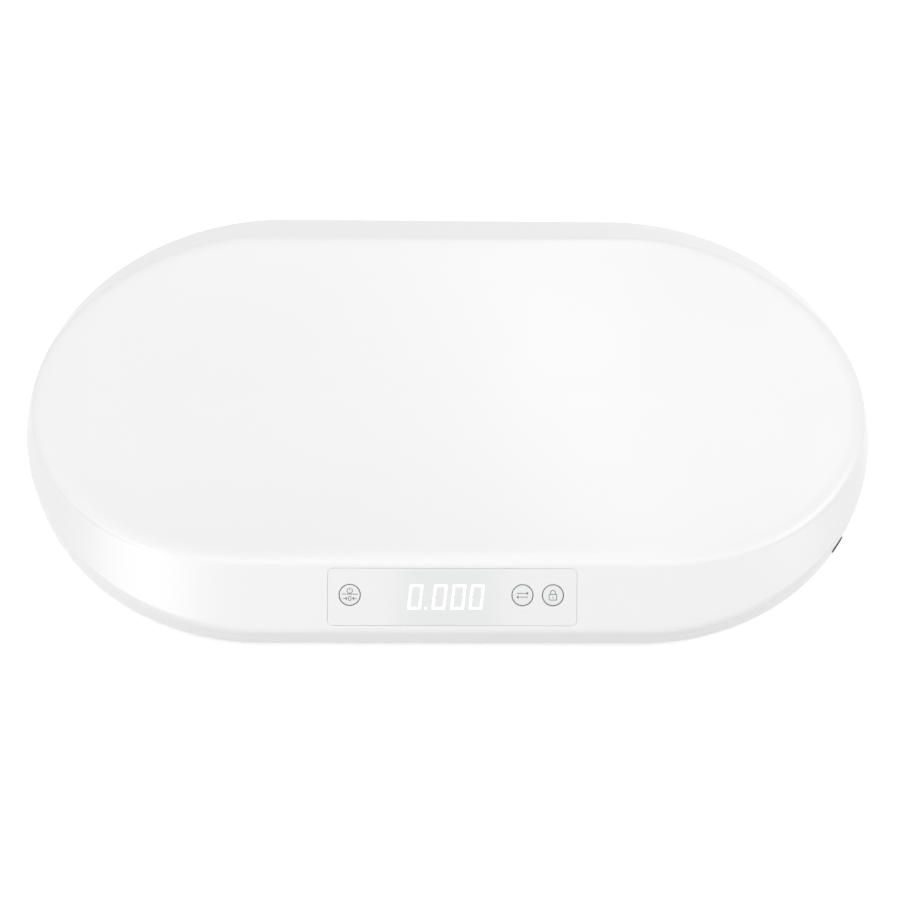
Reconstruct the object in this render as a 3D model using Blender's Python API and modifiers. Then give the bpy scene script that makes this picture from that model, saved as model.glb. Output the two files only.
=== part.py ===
"""Digital baby weighing scale, as the separate pieces that it is assembled from.

The top cover is a shallow dished tray with a sloped apron and a short skirt. The base cover closes it
from below, carries four load cells on feet, and holds the battery, the boards and the charging socket.
The display panel and its three keys lie flush in the front apron.
"""
import math

import bmesh
import bpy
from mathutils import Matrix, Vector

# Body outline seen from above: straight front and back between two round ends
BODY_LENGTH = 0.550
BODY_WIDTH = 0.320
END_REACH = 0.160
ARC_STEPS = 20

# Heights, stacked from the surface that the scale stands on
FOOT_HEIGHT = 0.006
BASE_DEPTH = 0.0125
SKIRT_HEIGHT = 0.005
APRON_RISE = 0.025
RIM_END_DROP = 0.0055
DISH_DEPTH = 0.013

# Tray rim, seen from above
RIM_INSET_SIDE = 0.0365
RIM_INSET_END = 0.007
RIM_END_REACH = 0.145
RIM_DROP_TURN = math.radians(60)

# Dish: each ring is a share of the rim's size, and its height follows a power of that share
DISH_RING_SHARES = (0.88, 0.72, 0.55, 0.38, 0.20)
DISH_POWER = 2.2

# Moulded walls and edges
WALL = 0.0025
CREASE_EDGE = 0.0026
RIM_EDGE = 0.0045
BOTTOM_EDGE = 0.003
INNER_EDGE = 0.002
SEAM_GAP = 0.0003
LIP_HEIGHT = 0.0025
LIP_WALL = 0.0012
LIP_ROOT = 0.003
FIT_GAP = 0.0003
OVERRUN = 0.004

# Stiffening ribs under the tray
RIB_WALL = 0.0016
RIB_DEPTH = 0.006
LONG_RIB_SPREAD = 0.090
LONG_RIB_LENGTH = 0.440
CROSS_RIB_LENGTH = 0.200
CROSS_RIB_PITCH = 0.100
CROSS_RIBS = 3

# Screws that hold the two covers together: places along and across the body
BODY_SCREW_SIDE_X = 0.100
BODY_SCREW_SIDE_INSET = 0.024
BODY_SCREW_END_INSET = 0.034
BODY_SCREW_END_Y = 0.048
BODY_SCREW_SHANK = 0.0015
BODY_SCREW_HEAD = 0.0032
BODY_SCREW_HEAD_HEIGHT = 0.0022
BODY_SCREW_BITE = 0.010
BOSS_WALL = 0.0024
BOSS_SPLIT_HEIGHT = 0.0075
SCREW_SHOULDER = 0.0045
SCREW_TIP = 0.002
HEAD_CROWN_SHARE = 0.7
HEAD_SIDE_SHARE = 0.45

# Small screws that hold the boards and the battery clip
SMALL_SHANK = 0.001
SMALL_HEAD = 0.002
SMALL_HEAD_HEIGHT = 0.0014
SMALL_LENGTH = 0.0050
SMALL_BOSS = 0.003
PEG = 0.0011
PEG_TIP = 0.0008

# Display panel in the apron: width, height up the slope, and its place up the slope from the crease
PANEL_WIDTH = 0.149
PANEL_HEIGHT = 0.034
PANEL_CORNER = 0.003
PANEL_THICKNESS = 0.0015
PANEL_RISE = 0.0214
PANEL_BACKING = 0.0022
PANEL_BACKING_MARGIN = 0.0015

# Keys: one near the panel's left end, two near its right end, all just above its middle line
KEY_LEFT_INSET = 0.0130
KEY_RIGHT_INSET = 0.0142
KEY_PITCH = 0.0183
KEY_RISE = 0.0012
KEY_RADIUS = 0.0065
KEY_FLANGE = 0.0008
KEY_FLANGE_HEIGHT = 0.0012
KEY_STEM = 0.0021
KEY_STEM_LENGTH = 0.002
KEY_EDGE = 0.0003
KEY_TRAVEL = 0.0005

# Tact switches under the keys
SWITCH_SIZE = 0.0060
SWITCH_HEIGHT = 0.0035
PLUNGER_RADIUS = 0.0016
PLUNGER_LENGTH = 0.0022

# Light-emitting display module and its board
LED_WIDTH = 0.060
LED_HEIGHT = 0.0215
LED_DEPTH = 0.0080
LED_LEFT_ROOM_SHARE = 0.774
LED_EDGE = 0.0005
DISPLAY_BOARD_INSET = 0.0045
DISPLAY_BOARD_HEIGHT = 0.030
DISPLAY_BOARD_RISE = 0.0008
BOARD_THICKNESS = 0.0016
BOARD_CORNER = 0.0015
BOARD_HOLE_INSET = 0.0035

# Feet and load cells
FOOT_END_INSET = 0.115
FOOT_SIDE_INSET = 0.072
FOOT_RADIUS = 0.0170
FOOT_PLAY = 0.0010
PAD_RADIUS = 0.0145
PAD_THICKNESS = 0.003
PAD_EDGE = 0.0005
CUP_CLEARANCE = 0.0014
CUP_WEB = 0.0022
CUP_EDGE = 0.0008
STEM_SHOULDER = 0.0055
STEM_NECK = 0.0028
STEM_HEAD = 0.0044
STEM_HEAD_HEIGHT = 0.0018
STEM_CROWN_SHARE = 0.6
FOOT_TRAVEL_GAP = 0.0003
CELL_LIFT = 0.0034
CELL_SIZE = 0.034
CELL_THICKNESS = 0.0028
CELL_CORNER = 0.002
CELL_TONGUE_WIDTH = 0.013
CELL_SLOT = 0.0016
CELL_SLOT_LENGTH = 0.020
CELL_HOLE_PLAY = 0.0005
CELL_FENCE = 0.0050
CLAMP_THICKNESS = 0.0025
CLAMP_WINDOW = 0.023
CELL_POST_SIZE = 0.038
CELL_POST_WALL = 0.0022

# Main board on the base floor
MAIN_BOARD_X = -0.045
MAIN_BOARD_Y = 0.025
MAIN_BOARD_LENGTH = 0.090
MAIN_BOARD_WIDTH = 0.050
BOARD_STANDOFF = 0.003
CHIP_SIZE = 0.011
CHIP_HEIGHT = 0.0016
CONNECTOR_LENGTH = 0.006
CONNECTOR_WIDTH = 0.008
CONNECTOR_HEIGHT = 0.005
CONNECTOR_SPREAD = 0.026
CONNECTOR_INSET = 0.0005

# Battery and the clip over it
BATTERY_X = 0.058
BATTERY_Y = 0.025
BATTERY_LENGTH = 0.060
BATTERY_WIDTH = 0.036
BATTERY_THICKNESS = 0.008
BATTERY_EDGE = 0.003
FENCE_WALL = 0.0015
FENCE_HEIGHT = 0.004
FENCE_LENGTH = 0.009
CLIP_WIDTH = 0.014
CLIP_THICKNESS = 0.0015
CLIP_FOOT = 0.009
CLIP_BOSS_HEIGHT = 0.0045

# Charging socket behind the wall of the base, turned from the body's length towards the front
PORT_TURN = math.radians(-36)
PORT_HEIGHT = 0.0065
PORT_WIDTH = 0.0120
PORT_OPENING_HEIGHT = 0.0062
PORT_CORNER = 0.0021
SOCKET_WIDTH = 0.0089
SOCKET_HEIGHT = 0.0032
SOCKET_DEPTH = 0.0073
SOCKET_WALL = 0.0003
SOCKET_SETBACK = 0.0006
TONGUE_THICKNESS = 0.0007
TONGUE_WIDTH = 0.0066
TONGUE_SETBACK = 0.0010
USB_BOARD_WIDTH = 0.020
USB_BOARD_DEPTH = 0.016
USB_SCREW_LENGTH = 0.0034

# Leads
LEAD_RADIUS = 0.0011
LEAD_STEP = 0.012
LEAD_NOTCH = 0.0034
LEAD_DROP = 0.012

# Facets of round pieces
FINE_STEPS = 16
ROUND_STEPS = 10
SMALL_STEPS = 8
CORNER_STEPS = 3

# Points of one piece that lie closer than this are one point
WELD = 0.000001

# Worked out from the sizes above
SEAM_HEIGHT = FOOT_HEIGHT + BASE_DEPTH
CREASE_HEIGHT = SEAM_HEIGHT + SKIRT_HEIGHT
RIM_HEIGHT = CREASE_HEIGHT + APRON_RISE
TRAY_HEIGHT = RIM_HEIGHT - DISH_DEPTH
FLOOR = FOOT_HEIGHT + WALL
HALF_STRAIGHT = BODY_LENGTH / 2 - END_REACH
RIM_HALF_STRAIGHT = BODY_LENGTH / 2 - RIM_INSET_END - RIM_END_REACH
RIM_HALF_WIDTH = BODY_WIDTH / 2 - RIM_INSET_SIDE
APRON_TILT = math.atan2(APRON_RISE, RIM_INSET_SIDE)
RECESS_DEPTH = PANEL_THICKNESS + FIT_GAP
KEY_PLACES = {
    "tare": KEY_LEFT_INSET - PANEL_WIDTH / 2,
    "unit": PANEL_WIDTH / 2 - KEY_RIGHT_INSET - KEY_PITCH,
    "hold": PANEL_WIDTH / 2 - KEY_RIGHT_INSET,
}
KEY_BORE = KEY_RADIUS + KEY_FLANGE + FIT_GAP
LED_ROOM = KEY_PLACES["unit"] - KEY_PLACES["tare"] - 2 * KEY_BORE - LED_WIDTH
LED_SHIFT = KEY_PLACES["tare"] + KEY_BORE + LED_ROOM * LED_LEFT_ROOM_SHARE + LED_WIDTH / 2
DISPLAY_BOARD_WIDTH = PANEL_WIDTH - 2 * DISPLAY_BOARD_INSET
BACKING_DEPTH = RECESS_DEPTH + PANEL_BACKING
DISPLAY_BOARD_TOP = -(RECESS_DEPTH + LED_DEPTH + FIT_GAP)
CELL_BOTTOM = FLOOR + CELL_LIFT + FIT_GAP
CELL_TOP = CELL_BOTTOM + CELL_THICKNESS
CLAMP_BOTTOM = CELL_TOP + FIT_GAP
CLAMP_TOP = CLAMP_BOTTOM + CLAMP_THICKNESS
CELL_POCKET = CELL_SIZE + 2 * FIT_GAP
CELL_BLOCK = CELL_POCKET + 2 * CELL_FENCE
MAIN_BOARD_BOTTOM = FLOOR + BOARD_STANDOFF + FIT_GAP
MAIN_BOARD_TOP = MAIN_BOARD_BOTTOM + BOARD_THICKNESS
BATTERY_BOTTOM = FLOOR + FIT_GAP
BATTERY_TOP = BATTERY_BOTTOM + BATTERY_THICKNESS
PORT_LEVEL = FOOT_HEIGHT + PORT_HEIGHT
USB_BOARD_FRONT = WALL + INNER_EDGE + 2 * FIT_GAP
LEAD_LEVEL = FLOOR + FIT_GAP + LEAD_RADIUS
LEAD_PLUG_LEVEL = MAIN_BOARD_TOP + CONNECTOR_HEIGHT / 2

CORNERS = {
    "front_left": (-1, -1),
    "front_right": (1, -1),
    "back_left": (-1, 1),
    "back_right": (1, 1),
}

# Finishes: colour, roughness, metallic
FINISHES = {
    "white_shell": ((0.90, 0.90, 0.90), 0.32, 0.0),
    "white_panel": ((0.86, 0.87, 0.87), 0.18, 0.0),
    "white_key": ((0.88, 0.88, 0.88), 0.25, 0.0),
    "foot_plastic": ((0.82, 0.82, 0.82), 0.45, 0.0),
    "foot_rubber": ((0.45, 0.45, 0.46), 0.85, 0.0),
    "plated_steel": ((0.62, 0.62, 0.63), 0.35, 1.0),
    "black_plastic": ((0.03, 0.03, 0.03), 0.40, 0.0),
    "board_green": ((0.04, 0.20, 0.09), 0.45, 0.0),
    "battery_foil": ((0.55, 0.57, 0.60), 0.35, 0.6),
    "display_white": ((0.80, 0.80, 0.78), 0.50, 0.0),
    "lead_red": ((0.45, 0.04, 0.03), 0.50, 0.0),
    "lead_white": ((0.75, 0.75, 0.73), 0.50, 0.0),
}


# The scene, its collections and its materials

def clear_scene():
    for obj in list(bpy.data.objects):
        bpy.data.objects.remove(obj, do_unlink=True)


def collection(name):
    made = bpy.data.collections.new(name)
    bpy.context.scene.collection.children.link(made)
    return made


def make_finish(name):
    colour, roughness, metallic = FINISHES[name]
    material = bpy.data.materials.new(name)
    material.use_nodes = True
    shader = material.node_tree.nodes["Principled BSDF"]
    shader.inputs["Base Color"].default_value = (*colour, 1)
    shader.inputs["Roughness"].default_value = roughness
    shader.inputs["Metallic"].default_value = metallic
    return material


clear_scene()
PARTS = collection("baby_scale")
CUTTERS = collection("cutters")
MATERIALS = {name: make_finish(name) for name in FINISHES}


# Objects made from meshes, curves and turned profiles

def part(name, mesh, finish, frame=None):
    """A named piece of the scale, placed by its frame."""
    obj = bpy.data.objects.new(name, mesh)
    mesh.materials.clear()
    mesh.materials.append(MATERIALS[finish])
    PARTS.objects.link(obj)
    obj.matrix_world = frame if frame is not None else Matrix()
    mesh.shade_smooth()
    mesh.set_sharp_from_angle(angle=math.radians(30))
    return obj


def tool(name, mesh, frame=None):
    """A hidden shape that is cut from a piece or joined to it."""
    obj = bpy.data.objects.new(name, mesh)
    CUTTERS.objects.link(obj)
    obj.matrix_world = frame if frame is not None else Matrix()
    obj.hide_render = True
    obj.display_type = "WIRE"
    return obj


def combine(target, operation, other):
    modifier = target.modifiers.new(f"{operation.lower()}_{other.name}", "BOOLEAN")
    modifier.operation = operation
    modifier.solver = "EXACT"
    modifier.object = other


def cut(target, other):
    combine(target, "DIFFERENCE", other)


def join(target, other):
    combine(target, "UNION", other)


def finish_mesh(bm, name):
    mesh = bpy.data.meshes.new(name)
    bm.to_mesh(mesh)
    bm.free()
    return mesh


def boxes(name, corners):
    """One mesh of separate boxes, each given by its lowest and highest corner."""
    bm = bmesh.new()
    for low, high in corners:
        low, high = Vector(low), Vector(high)
        middle = Matrix.Translation((low + high) / 2)
        bmesh.ops.create_cube(bm, size=1, matrix=middle @ Matrix.Diagonal((*(high - low), 1)))
    return finish_mesh(bm, name)


def cylinders(name, places, radius, low, high, steps):
    """One mesh of separate upright cylinders from low to high."""
    bm = bmesh.new()
    for x, y in places:
        middle = Matrix.Translation((x, y, (low + high) / 2))
        bmesh.ops.create_cone(
            bm, cap_ends=True, segments=steps, radius1=radius, radius2=radius, depth=high - low, matrix=middle
        )
    return finish_mesh(bm, name)


def evaluated_mesh(obj, name):
    """The mesh that an object's curve or modifiers give, with its loose caps welded."""
    graph = bpy.context.evaluated_depsgraph_get()
    mesh = bpy.data.meshes.new_from_object(obj.evaluated_get(graph), depsgraph=graph)
    mesh.name = name
    bm = bmesh.new()
    bm.from_mesh(mesh)
    bmesh.ops.remove_doubles(bm, verts=bm.verts, dist=WELD)
    bmesh.ops.recalc_face_normals(bm, faces=bm.faces)
    bm.to_mesh(mesh)
    bm.free()
    bpy.data.objects.remove(obj, do_unlink=True)
    return mesh


def turned(name, profile, steps):
    """A solid of revolution about Z, from (radius, height) points that run down its outer side."""
    mesh = bpy.data.meshes.new(name)
    points = [(radius, 0, height) for radius, height in profile]
    mesh.from_pydata(points, [(i, i + 1) for i in range(len(points) - 1)], [])
    obj = bpy.data.objects.new(name, mesh)
    PARTS.objects.link(obj)
    screw = obj.modifiers.new("turn", "SCREW")
    screw.steps = screw.render_steps = steps
    screw.use_merge_vertices = True
    screw.merge_threshold = WELD
    return evaluated_mesh(obj, name)


def rounded_rectangle(width, height, corner, centre=(0, 0)):
    points = []
    for index, (side_x, side_y) in enumerate(((1, 1), (-1, 1), (-1, -1), (1, -1))):
        for step in range(CORNER_STEPS + 1):
            angle = math.pi / 2 * (index + step / CORNER_STEPS)
            x = centre[0] + side_x * (width / 2 - corner) + corner * math.cos(angle)
            y = centre[1] + side_y * (height / 2 - corner) + corner * math.sin(angle)
            points.append((x, y))
    return points


def circle(radius, centre=(0, 0), steps=SMALL_STEPS):
    turns = [2 * math.pi * step / steps for step in range(steps)]
    return [(centre[0] + radius * math.cos(t), centre[1] + radius * math.sin(t)) for t in turns]


def plate(name, outlines, low, high):
    """A flat piece from low to high: the first outline is its edge, the others are holes through it."""
    curve = bpy.data.curves.new(name, "CURVE")
    curve.dimensions = "2D"
    curve.fill_mode = "BOTH"
    curve.extrude = (high - low) / 2
    for outline in outlines:
        spline = curve.splines.new("POLY")
        spline.points.add(len(outline) - 1)
        spline.use_cyclic_u = True
        for point, (x, y) in zip(spline.points, outline):
            point.co = (x, y, 0, 1)
    obj = bpy.data.objects.new(name, curve)
    PARTS.objects.link(obj)
    mesh = evaluated_mesh(obj, name)
    mesh.transform(Matrix.Translation((0, 0, (low + high) / 2)))
    return mesh


def bevel(obj, width, segments=2, angle=math.radians(50)):
    modifier = obj.modifiers.new("rounded_edges", "BEVEL")
    modifier.width = width
    modifier.segments = segments
    modifier.limit_method = "ANGLE"
    modifier.angle_limit = angle


# Racetrack rings and the shells lofted through them

def racetrack(half_straight, reach, half_width, height_at):
    """A ring seen from above, counter-clockwise. The turn is 0 on the sides and a quarter at the tips."""
    ring = []
    for side in (1, -1):
        for step in range(ARC_STEPS + 1):
            angle = math.pi * (step / ARC_STEPS - 0.5)
            x = side * (half_straight + reach * math.cos(angle))
            y = side * half_width * math.sin(angle)
            ring.append(Vector((x, y, height_at(math.pi / 2 - abs(angle)))))
    return ring


def outline_ring(inset, height):
    """The body's outline, drawn in by an inset, at one height."""
    reach = END_REACH - inset
    return racetrack(HALF_STRAIGHT, reach, BODY_WIDTH / 2 - inset, lambda turn: height)


def rim_height(turn):
    """The rim is highest on its straight sides and a little lower round the ends."""
    share = min(1, turn / RIM_DROP_TURN)
    return RIM_HEIGHT - RIM_END_DROP * share * share * (3 - 2 * share)


def tray_ring(share):
    """One ring of the dish: its size is a share of the rim's, and it lies lower towards the middle."""
    rise_share = 0 if share == DISH_RING_SHARES[-1] else share ** DISH_POWER

    def height(turn):
        return TRAY_HEIGHT + (rim_height(turn) - TRAY_HEIGHT) * rise_share

    return racetrack(RIM_HALF_STRAIGHT, RIM_END_REACH * share, RIM_HALF_WIDTH * share, height)


def loft(name, rings, first_cap=True, eased=None):
    """Faces from ring to ring. eased gives the bevel weight of the edges of some rings."""
    bm = bmesh.new()
    weight = bm.edges.layers.float.new("bevel_weight_edge")
    loops = [[bm.verts.new(point) for point in ring] for ring in rings]
    for lower, upper in zip(loops, loops[1:]):
        for index in range(len(lower)):
            after = (index + 1) % len(lower)
            bm.faces.new((lower[index], lower[after], upper[after], upper[index]))
    if first_cap:
        bm.faces.new(loops[0][::-1])
    bm.faces.new(loops[-1])
    for ring_index, amount in (eased or {}).items():
        loop = loops[ring_index]
        for index, vertex in enumerate(loop):
            edge = bm.edges.get((vertex, loop[(index + 1) % len(loop)]))
            edge[weight] = amount
    return finish_mesh(bm, name)


def top_surface():
    """The outer skin of the top cover, from the foot of its skirt over the rim to the dish."""
    rings = [outline_ring(0, SEAM_HEIGHT + SEAM_GAP), outline_ring(0, CREASE_HEIGHT), tray_ring(1)]
    return rings + [tray_ring(share) for share in DISH_RING_SHARES]


def ease_edges(obj):
    modifier = obj.modifiers.new("eased_edges", "BEVEL")
    modifier.width = RIM_EDGE
    modifier.segments = 2
    modifier.limit_method = "WEIGHT"


# The frame of the apron: X along the panel, Y up the slope, Z out of it, with its origin on the crease

def apron_frame():
    turn = Matrix.Rotation(APRON_TILT, 4, "X")
    return Matrix.Translation((0, -BODY_WIDTH / 2, CREASE_HEIGHT)) @ turn


APRON = apron_frame()


def key_frame(key):
    return APRON @ Matrix.Translation((KEY_PLACES[key], PANEL_RISE + KEY_RISE, 0))


# Places of the screws and the feet

def body_screw_places():
    side_y = BODY_WIDTH / 2 - BODY_SCREW_SIDE_INSET
    end_x = BODY_LENGTH / 2 - BODY_SCREW_END_INSET
    places = []
    for x, y in ((BODY_SCREW_SIDE_X, side_y), (end_x, BODY_SCREW_END_Y)):
        places += [(side_x * x, side_y_sign * y) for side_y_sign in (-1, 1) for side_x in (-1, 1)]
    return places


def corner_place(corner):
    side_x, side_y = CORNERS[corner]
    return side_x * (BODY_LENGTH / 2 - FOOT_END_INSET), side_y * (BODY_WIDTH / 2 - FOOT_SIDE_INSET)


def square_at(place, size, low, high):
    x, y = place
    return (x - size / 2, y - size / 2, low), (x + size / 2, y + size / 2, high)


def peg_places(place, spread):
    """Two opposite corners of a square of that spread."""
    return [(place[0] + side * spread / 2, place[1] + side * spread / 2) for side in (-1, 1)]


def rectangle_corners(centre, width, height):
    sides = ((-1, -1), (1, 1), (1, -1), (-1, 1))
    return [(centre[0] + a * width / 2, centre[1] + b * height / 2) for a, b in sides]


# Top cover

def trimmed_by_tray(name, mesh, trim):
    obj = tool(name, mesh)
    combine(obj, "INTERSECT", trim)
    return obj


def top_cover():
    eased = {1: CREASE_EDGE / RIM_EDGE, 2: 1.0}
    cover = part("top_cover", loft("top_cover", top_surface(), first_cap=False, eased=eased), "white_shell")
    ease_edges(cover)
    shell = cover.modifiers.new("wall", "SOLIDIFY")
    shell.thickness = WALL
    shell.offset = -1
    shell.use_even_offset = True

    trim_frame = Matrix.Translation((0, 0, -WALL / 2))
    trim = tool("tray_trim", loft("tray_trim", top_surface(), eased=eased), trim_frame)
    ease_edges(trim)
    top = RIM_HEIGHT + OVERRUN
    posts = [square_at(corner_place(c), CELL_POST_SIZE, CLAMP_TOP + FIT_GAP, top) for c in CORNERS]
    join(cover, trimmed_by_tray("cell_posts", boxes("cell_posts", posts), trim))
    bore = CELL_POST_SIZE - 2 * CELL_POST_WALL
    post_bores = [square_at(corner_place(c), bore, CLAMP_TOP - OVERRUN, TRAY_HEIGHT - WALL) for c in CORNERS]
    cut(cover, tool("post_bores", boxes("post_bores", post_bores)))

    boss_low = FOOT_HEIGHT + SCREW_SHOULDER + BOSS_SPLIT_HEIGHT + FIT_GAP
    pilot = BODY_SCREW_SHANK + FIT_GAP
    bosses = cylinders("top_bosses", body_screw_places(), pilot + BOSS_WALL, boss_low, top, ROUND_STEPS)
    join(cover, trimmed_by_tray("top_bosses", bosses, trim))

    rib_low = TRAY_HEIGHT - WALL - RIB_DEPTH
    long_ribs = [
        ((-LONG_RIB_LENGTH / 2, y - RIB_WALL / 2, rib_low), (LONG_RIB_LENGTH / 2, y + RIB_WALL / 2, top))
        for y in (-LONG_RIB_SPREAD / 2, LONG_RIB_SPREAD / 2)
    ]
    join(cover, trimmed_by_tray("long_ribs", boxes("long_ribs", long_ribs), trim))
    cross_ribs = []
    for index in range(CROSS_RIBS):
        x = (index - (CROSS_RIBS - 1) / 2) * CROSS_RIB_PITCH
        low_corner = (x - RIB_WALL / 2, -CROSS_RIB_LENGTH / 2, rib_low)
        cross_ribs.append((low_corner, (x + RIB_WALL / 2, CROSS_RIB_LENGTH / 2, top)))
    join(cover, trimmed_by_tray("cross_ribs", boxes("cross_ribs", cross_ribs), trim))

    half_width = PANEL_WIDTH / 2 + PANEL_BACKING_MARGIN
    low_edge = PANEL_RISE - PANEL_HEIGHT / 2 - PANEL_BACKING_MARGIN
    high_edge = PANEL_RISE + PANEL_HEIGHT / 2 + PANEL_BACKING_MARGIN
    backing = [((-half_width, low_edge, -BACKING_DEPTH), (half_width, high_edge, -WALL / 2))]
    join(cover, tool("panel_backing", boxes("panel_backing", backing), APRON))
    board_bosses = cylinders(
        "display_bosses", display_board_holes(), SMALL_BOSS, DISPLAY_BOARD_TOP + FIT_GAP,
        -RECESS_DEPTH - WALL / 2, SMALL_STEPS,
    )
    join(cover, tool("display_bosses", board_bosses, APRON))

    recess_size = (PANEL_WIDTH + 2 * FIT_GAP, PANEL_HEIGHT + 2 * FIT_GAP)
    recess_outline = rounded_rectangle(*recess_size, PANEL_CORNER, (0, PANEL_RISE))
    recess = plate("panel_recess", [recess_outline], -RECESS_DEPTH, OVERRUN)
    cut(cover, tool("panel_recess", recess, APRON))
    reach_u, reach_v = LED_WIDTH / 2 + FIT_GAP, LED_HEIGHT / 2 + FIT_GAP
    window_low = (LED_SHIFT - reach_u, PANEL_RISE - reach_v, -BACKING_DEPTH - OVERRUN)
    window_high = (LED_SHIFT + reach_u, PANEL_RISE + reach_v, OVERRUN)
    cut(cover, tool("display_window", boxes("display_window", [(window_low, window_high)]), APRON))
    key_centres = [(u, PANEL_RISE + KEY_RISE) for u in KEY_PLACES.values()]
    key_bores = cylinders("key_bores", key_centres, KEY_BORE, -BACKING_DEPTH - OVERRUN, OVERRUN, FINE_STEPS)
    cut(cover, tool("key_bores", key_bores, APRON))

    pilots = cylinders(
        "top_pilots", body_screw_places(), pilot, boss_low - OVERRUN, boss_low + BODY_SCREW_BITE + SCREW_TIP,
        SMALL_STEPS,
    )
    cut(cover, tool("top_pilots", pilots))
    board_pilots = cylinders(
        "display_pilots", display_board_holes()[:2], SMALL_SHANK + FIT_GAP, DISPLAY_BOARD_TOP - OVERRUN,
        DISPLAY_BOARD_TOP + SMALL_LENGTH - BOARD_THICKNESS, SMALL_STEPS,
    )
    cut(cover, tool("display_pilots", board_pilots, APRON))
    board_pegs = cylinders(
        "display_pegs", display_board_holes()[2:], PEG, DISPLAY_BOARD_TOP - BOARD_THICKNESS - PEG_TIP,
        DISPLAY_BOARD_TOP + SMALL_BOSS, SMALL_STEPS,
    )
    join(cover, tool("display_pegs", board_pegs, APRON))


def display_board_centre():
    return 0, PANEL_RISE + DISPLAY_BOARD_RISE


def display_board_holes():
    inset = 2 * BOARD_HOLE_INSET
    width, height = DISPLAY_BOARD_WIDTH - inset, DISPLAY_BOARD_HEIGHT - inset
    return rectangle_corners(display_board_centre(), width, height)


# Base cover

def base_rings():
    """The base's section from the underside round the wall, over the lip and down to the inner floor."""
    section = []
    for step in range(CORNER_STEPS):
        angle = math.pi / 2 * step / (CORNER_STEPS - 1)
        inset = BOTTOM_EDGE * (1 - math.sin(angle))
        section.append((inset, FOOT_HEIGHT + BOTTOM_EDGE * (1 - math.cos(angle))))
    lip = WALL + FIT_GAP
    section += [
        (0, SEAM_HEIGHT),
        (lip, SEAM_HEIGHT),
        (lip, SEAM_HEIGHT + LIP_HEIGHT),
        (lip + LIP_WALL, SEAM_HEIGHT + LIP_HEIGHT),
        (lip + LIP_WALL, SEAM_HEIGHT - LIP_ROOT),
        (WALL, SEAM_HEIGHT - LIP_ROOT - FIT_GAP - LIP_WALL),
        (WALL, FLOOR + INNER_EDGE),
        (WALL + INNER_EDGE, FLOOR),
    ]
    return [outline_ring(inset, height) for inset, height in section]


def port_frame():
    """X runs along the wall, Y points out of it, Z is up. The origin is on the outer face of the wall."""
    out = Vector((math.cos(PORT_TURN), math.sin(PORT_TURN), 0))
    along = Vector((-out.y, out.x, 0))
    origin = Vector((HALF_STRAIGHT, 0, PORT_LEVEL))
    origin += Vector((END_REACH * out.x, BODY_WIDTH / 2 * out.y, 0))
    frame = Matrix((along, out, Vector((0, 0, 1)))).transposed().to_4x4()
    return Matrix.Translation(origin) @ frame


def usb_board_holes():
    """Both holes lie behind the socket, near the board's back corners."""
    x = USB_BOARD_WIDTH / 2 - BOARD_HOLE_INSET
    y = -(USB_BOARD_FRONT + USB_BOARD_DEPTH - BOARD_HOLE_INSET)
    return [(-x, y), (x, y)]


def main_board_holes():
    centre = (MAIN_BOARD_X, MAIN_BOARD_Y)
    inset = 2 * BOARD_HOLE_INSET
    return rectangle_corners(centre, MAIN_BOARD_LENGTH - inset, MAIN_BOARD_WIDTH - inset)


def clip_holes():
    reach = BATTERY_WIDTH / 2 + FIT_GAP + CLIP_THICKNESS + CLIP_FOOT / 2
    return [(BATTERY_X, BATTERY_Y - reach), (BATTERY_X, BATTERY_Y + reach)]


def usb_board_bottom():
    return -SOCKET_HEIGHT / 2 - FIT_GAP - BOARD_THICKNESS


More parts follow.
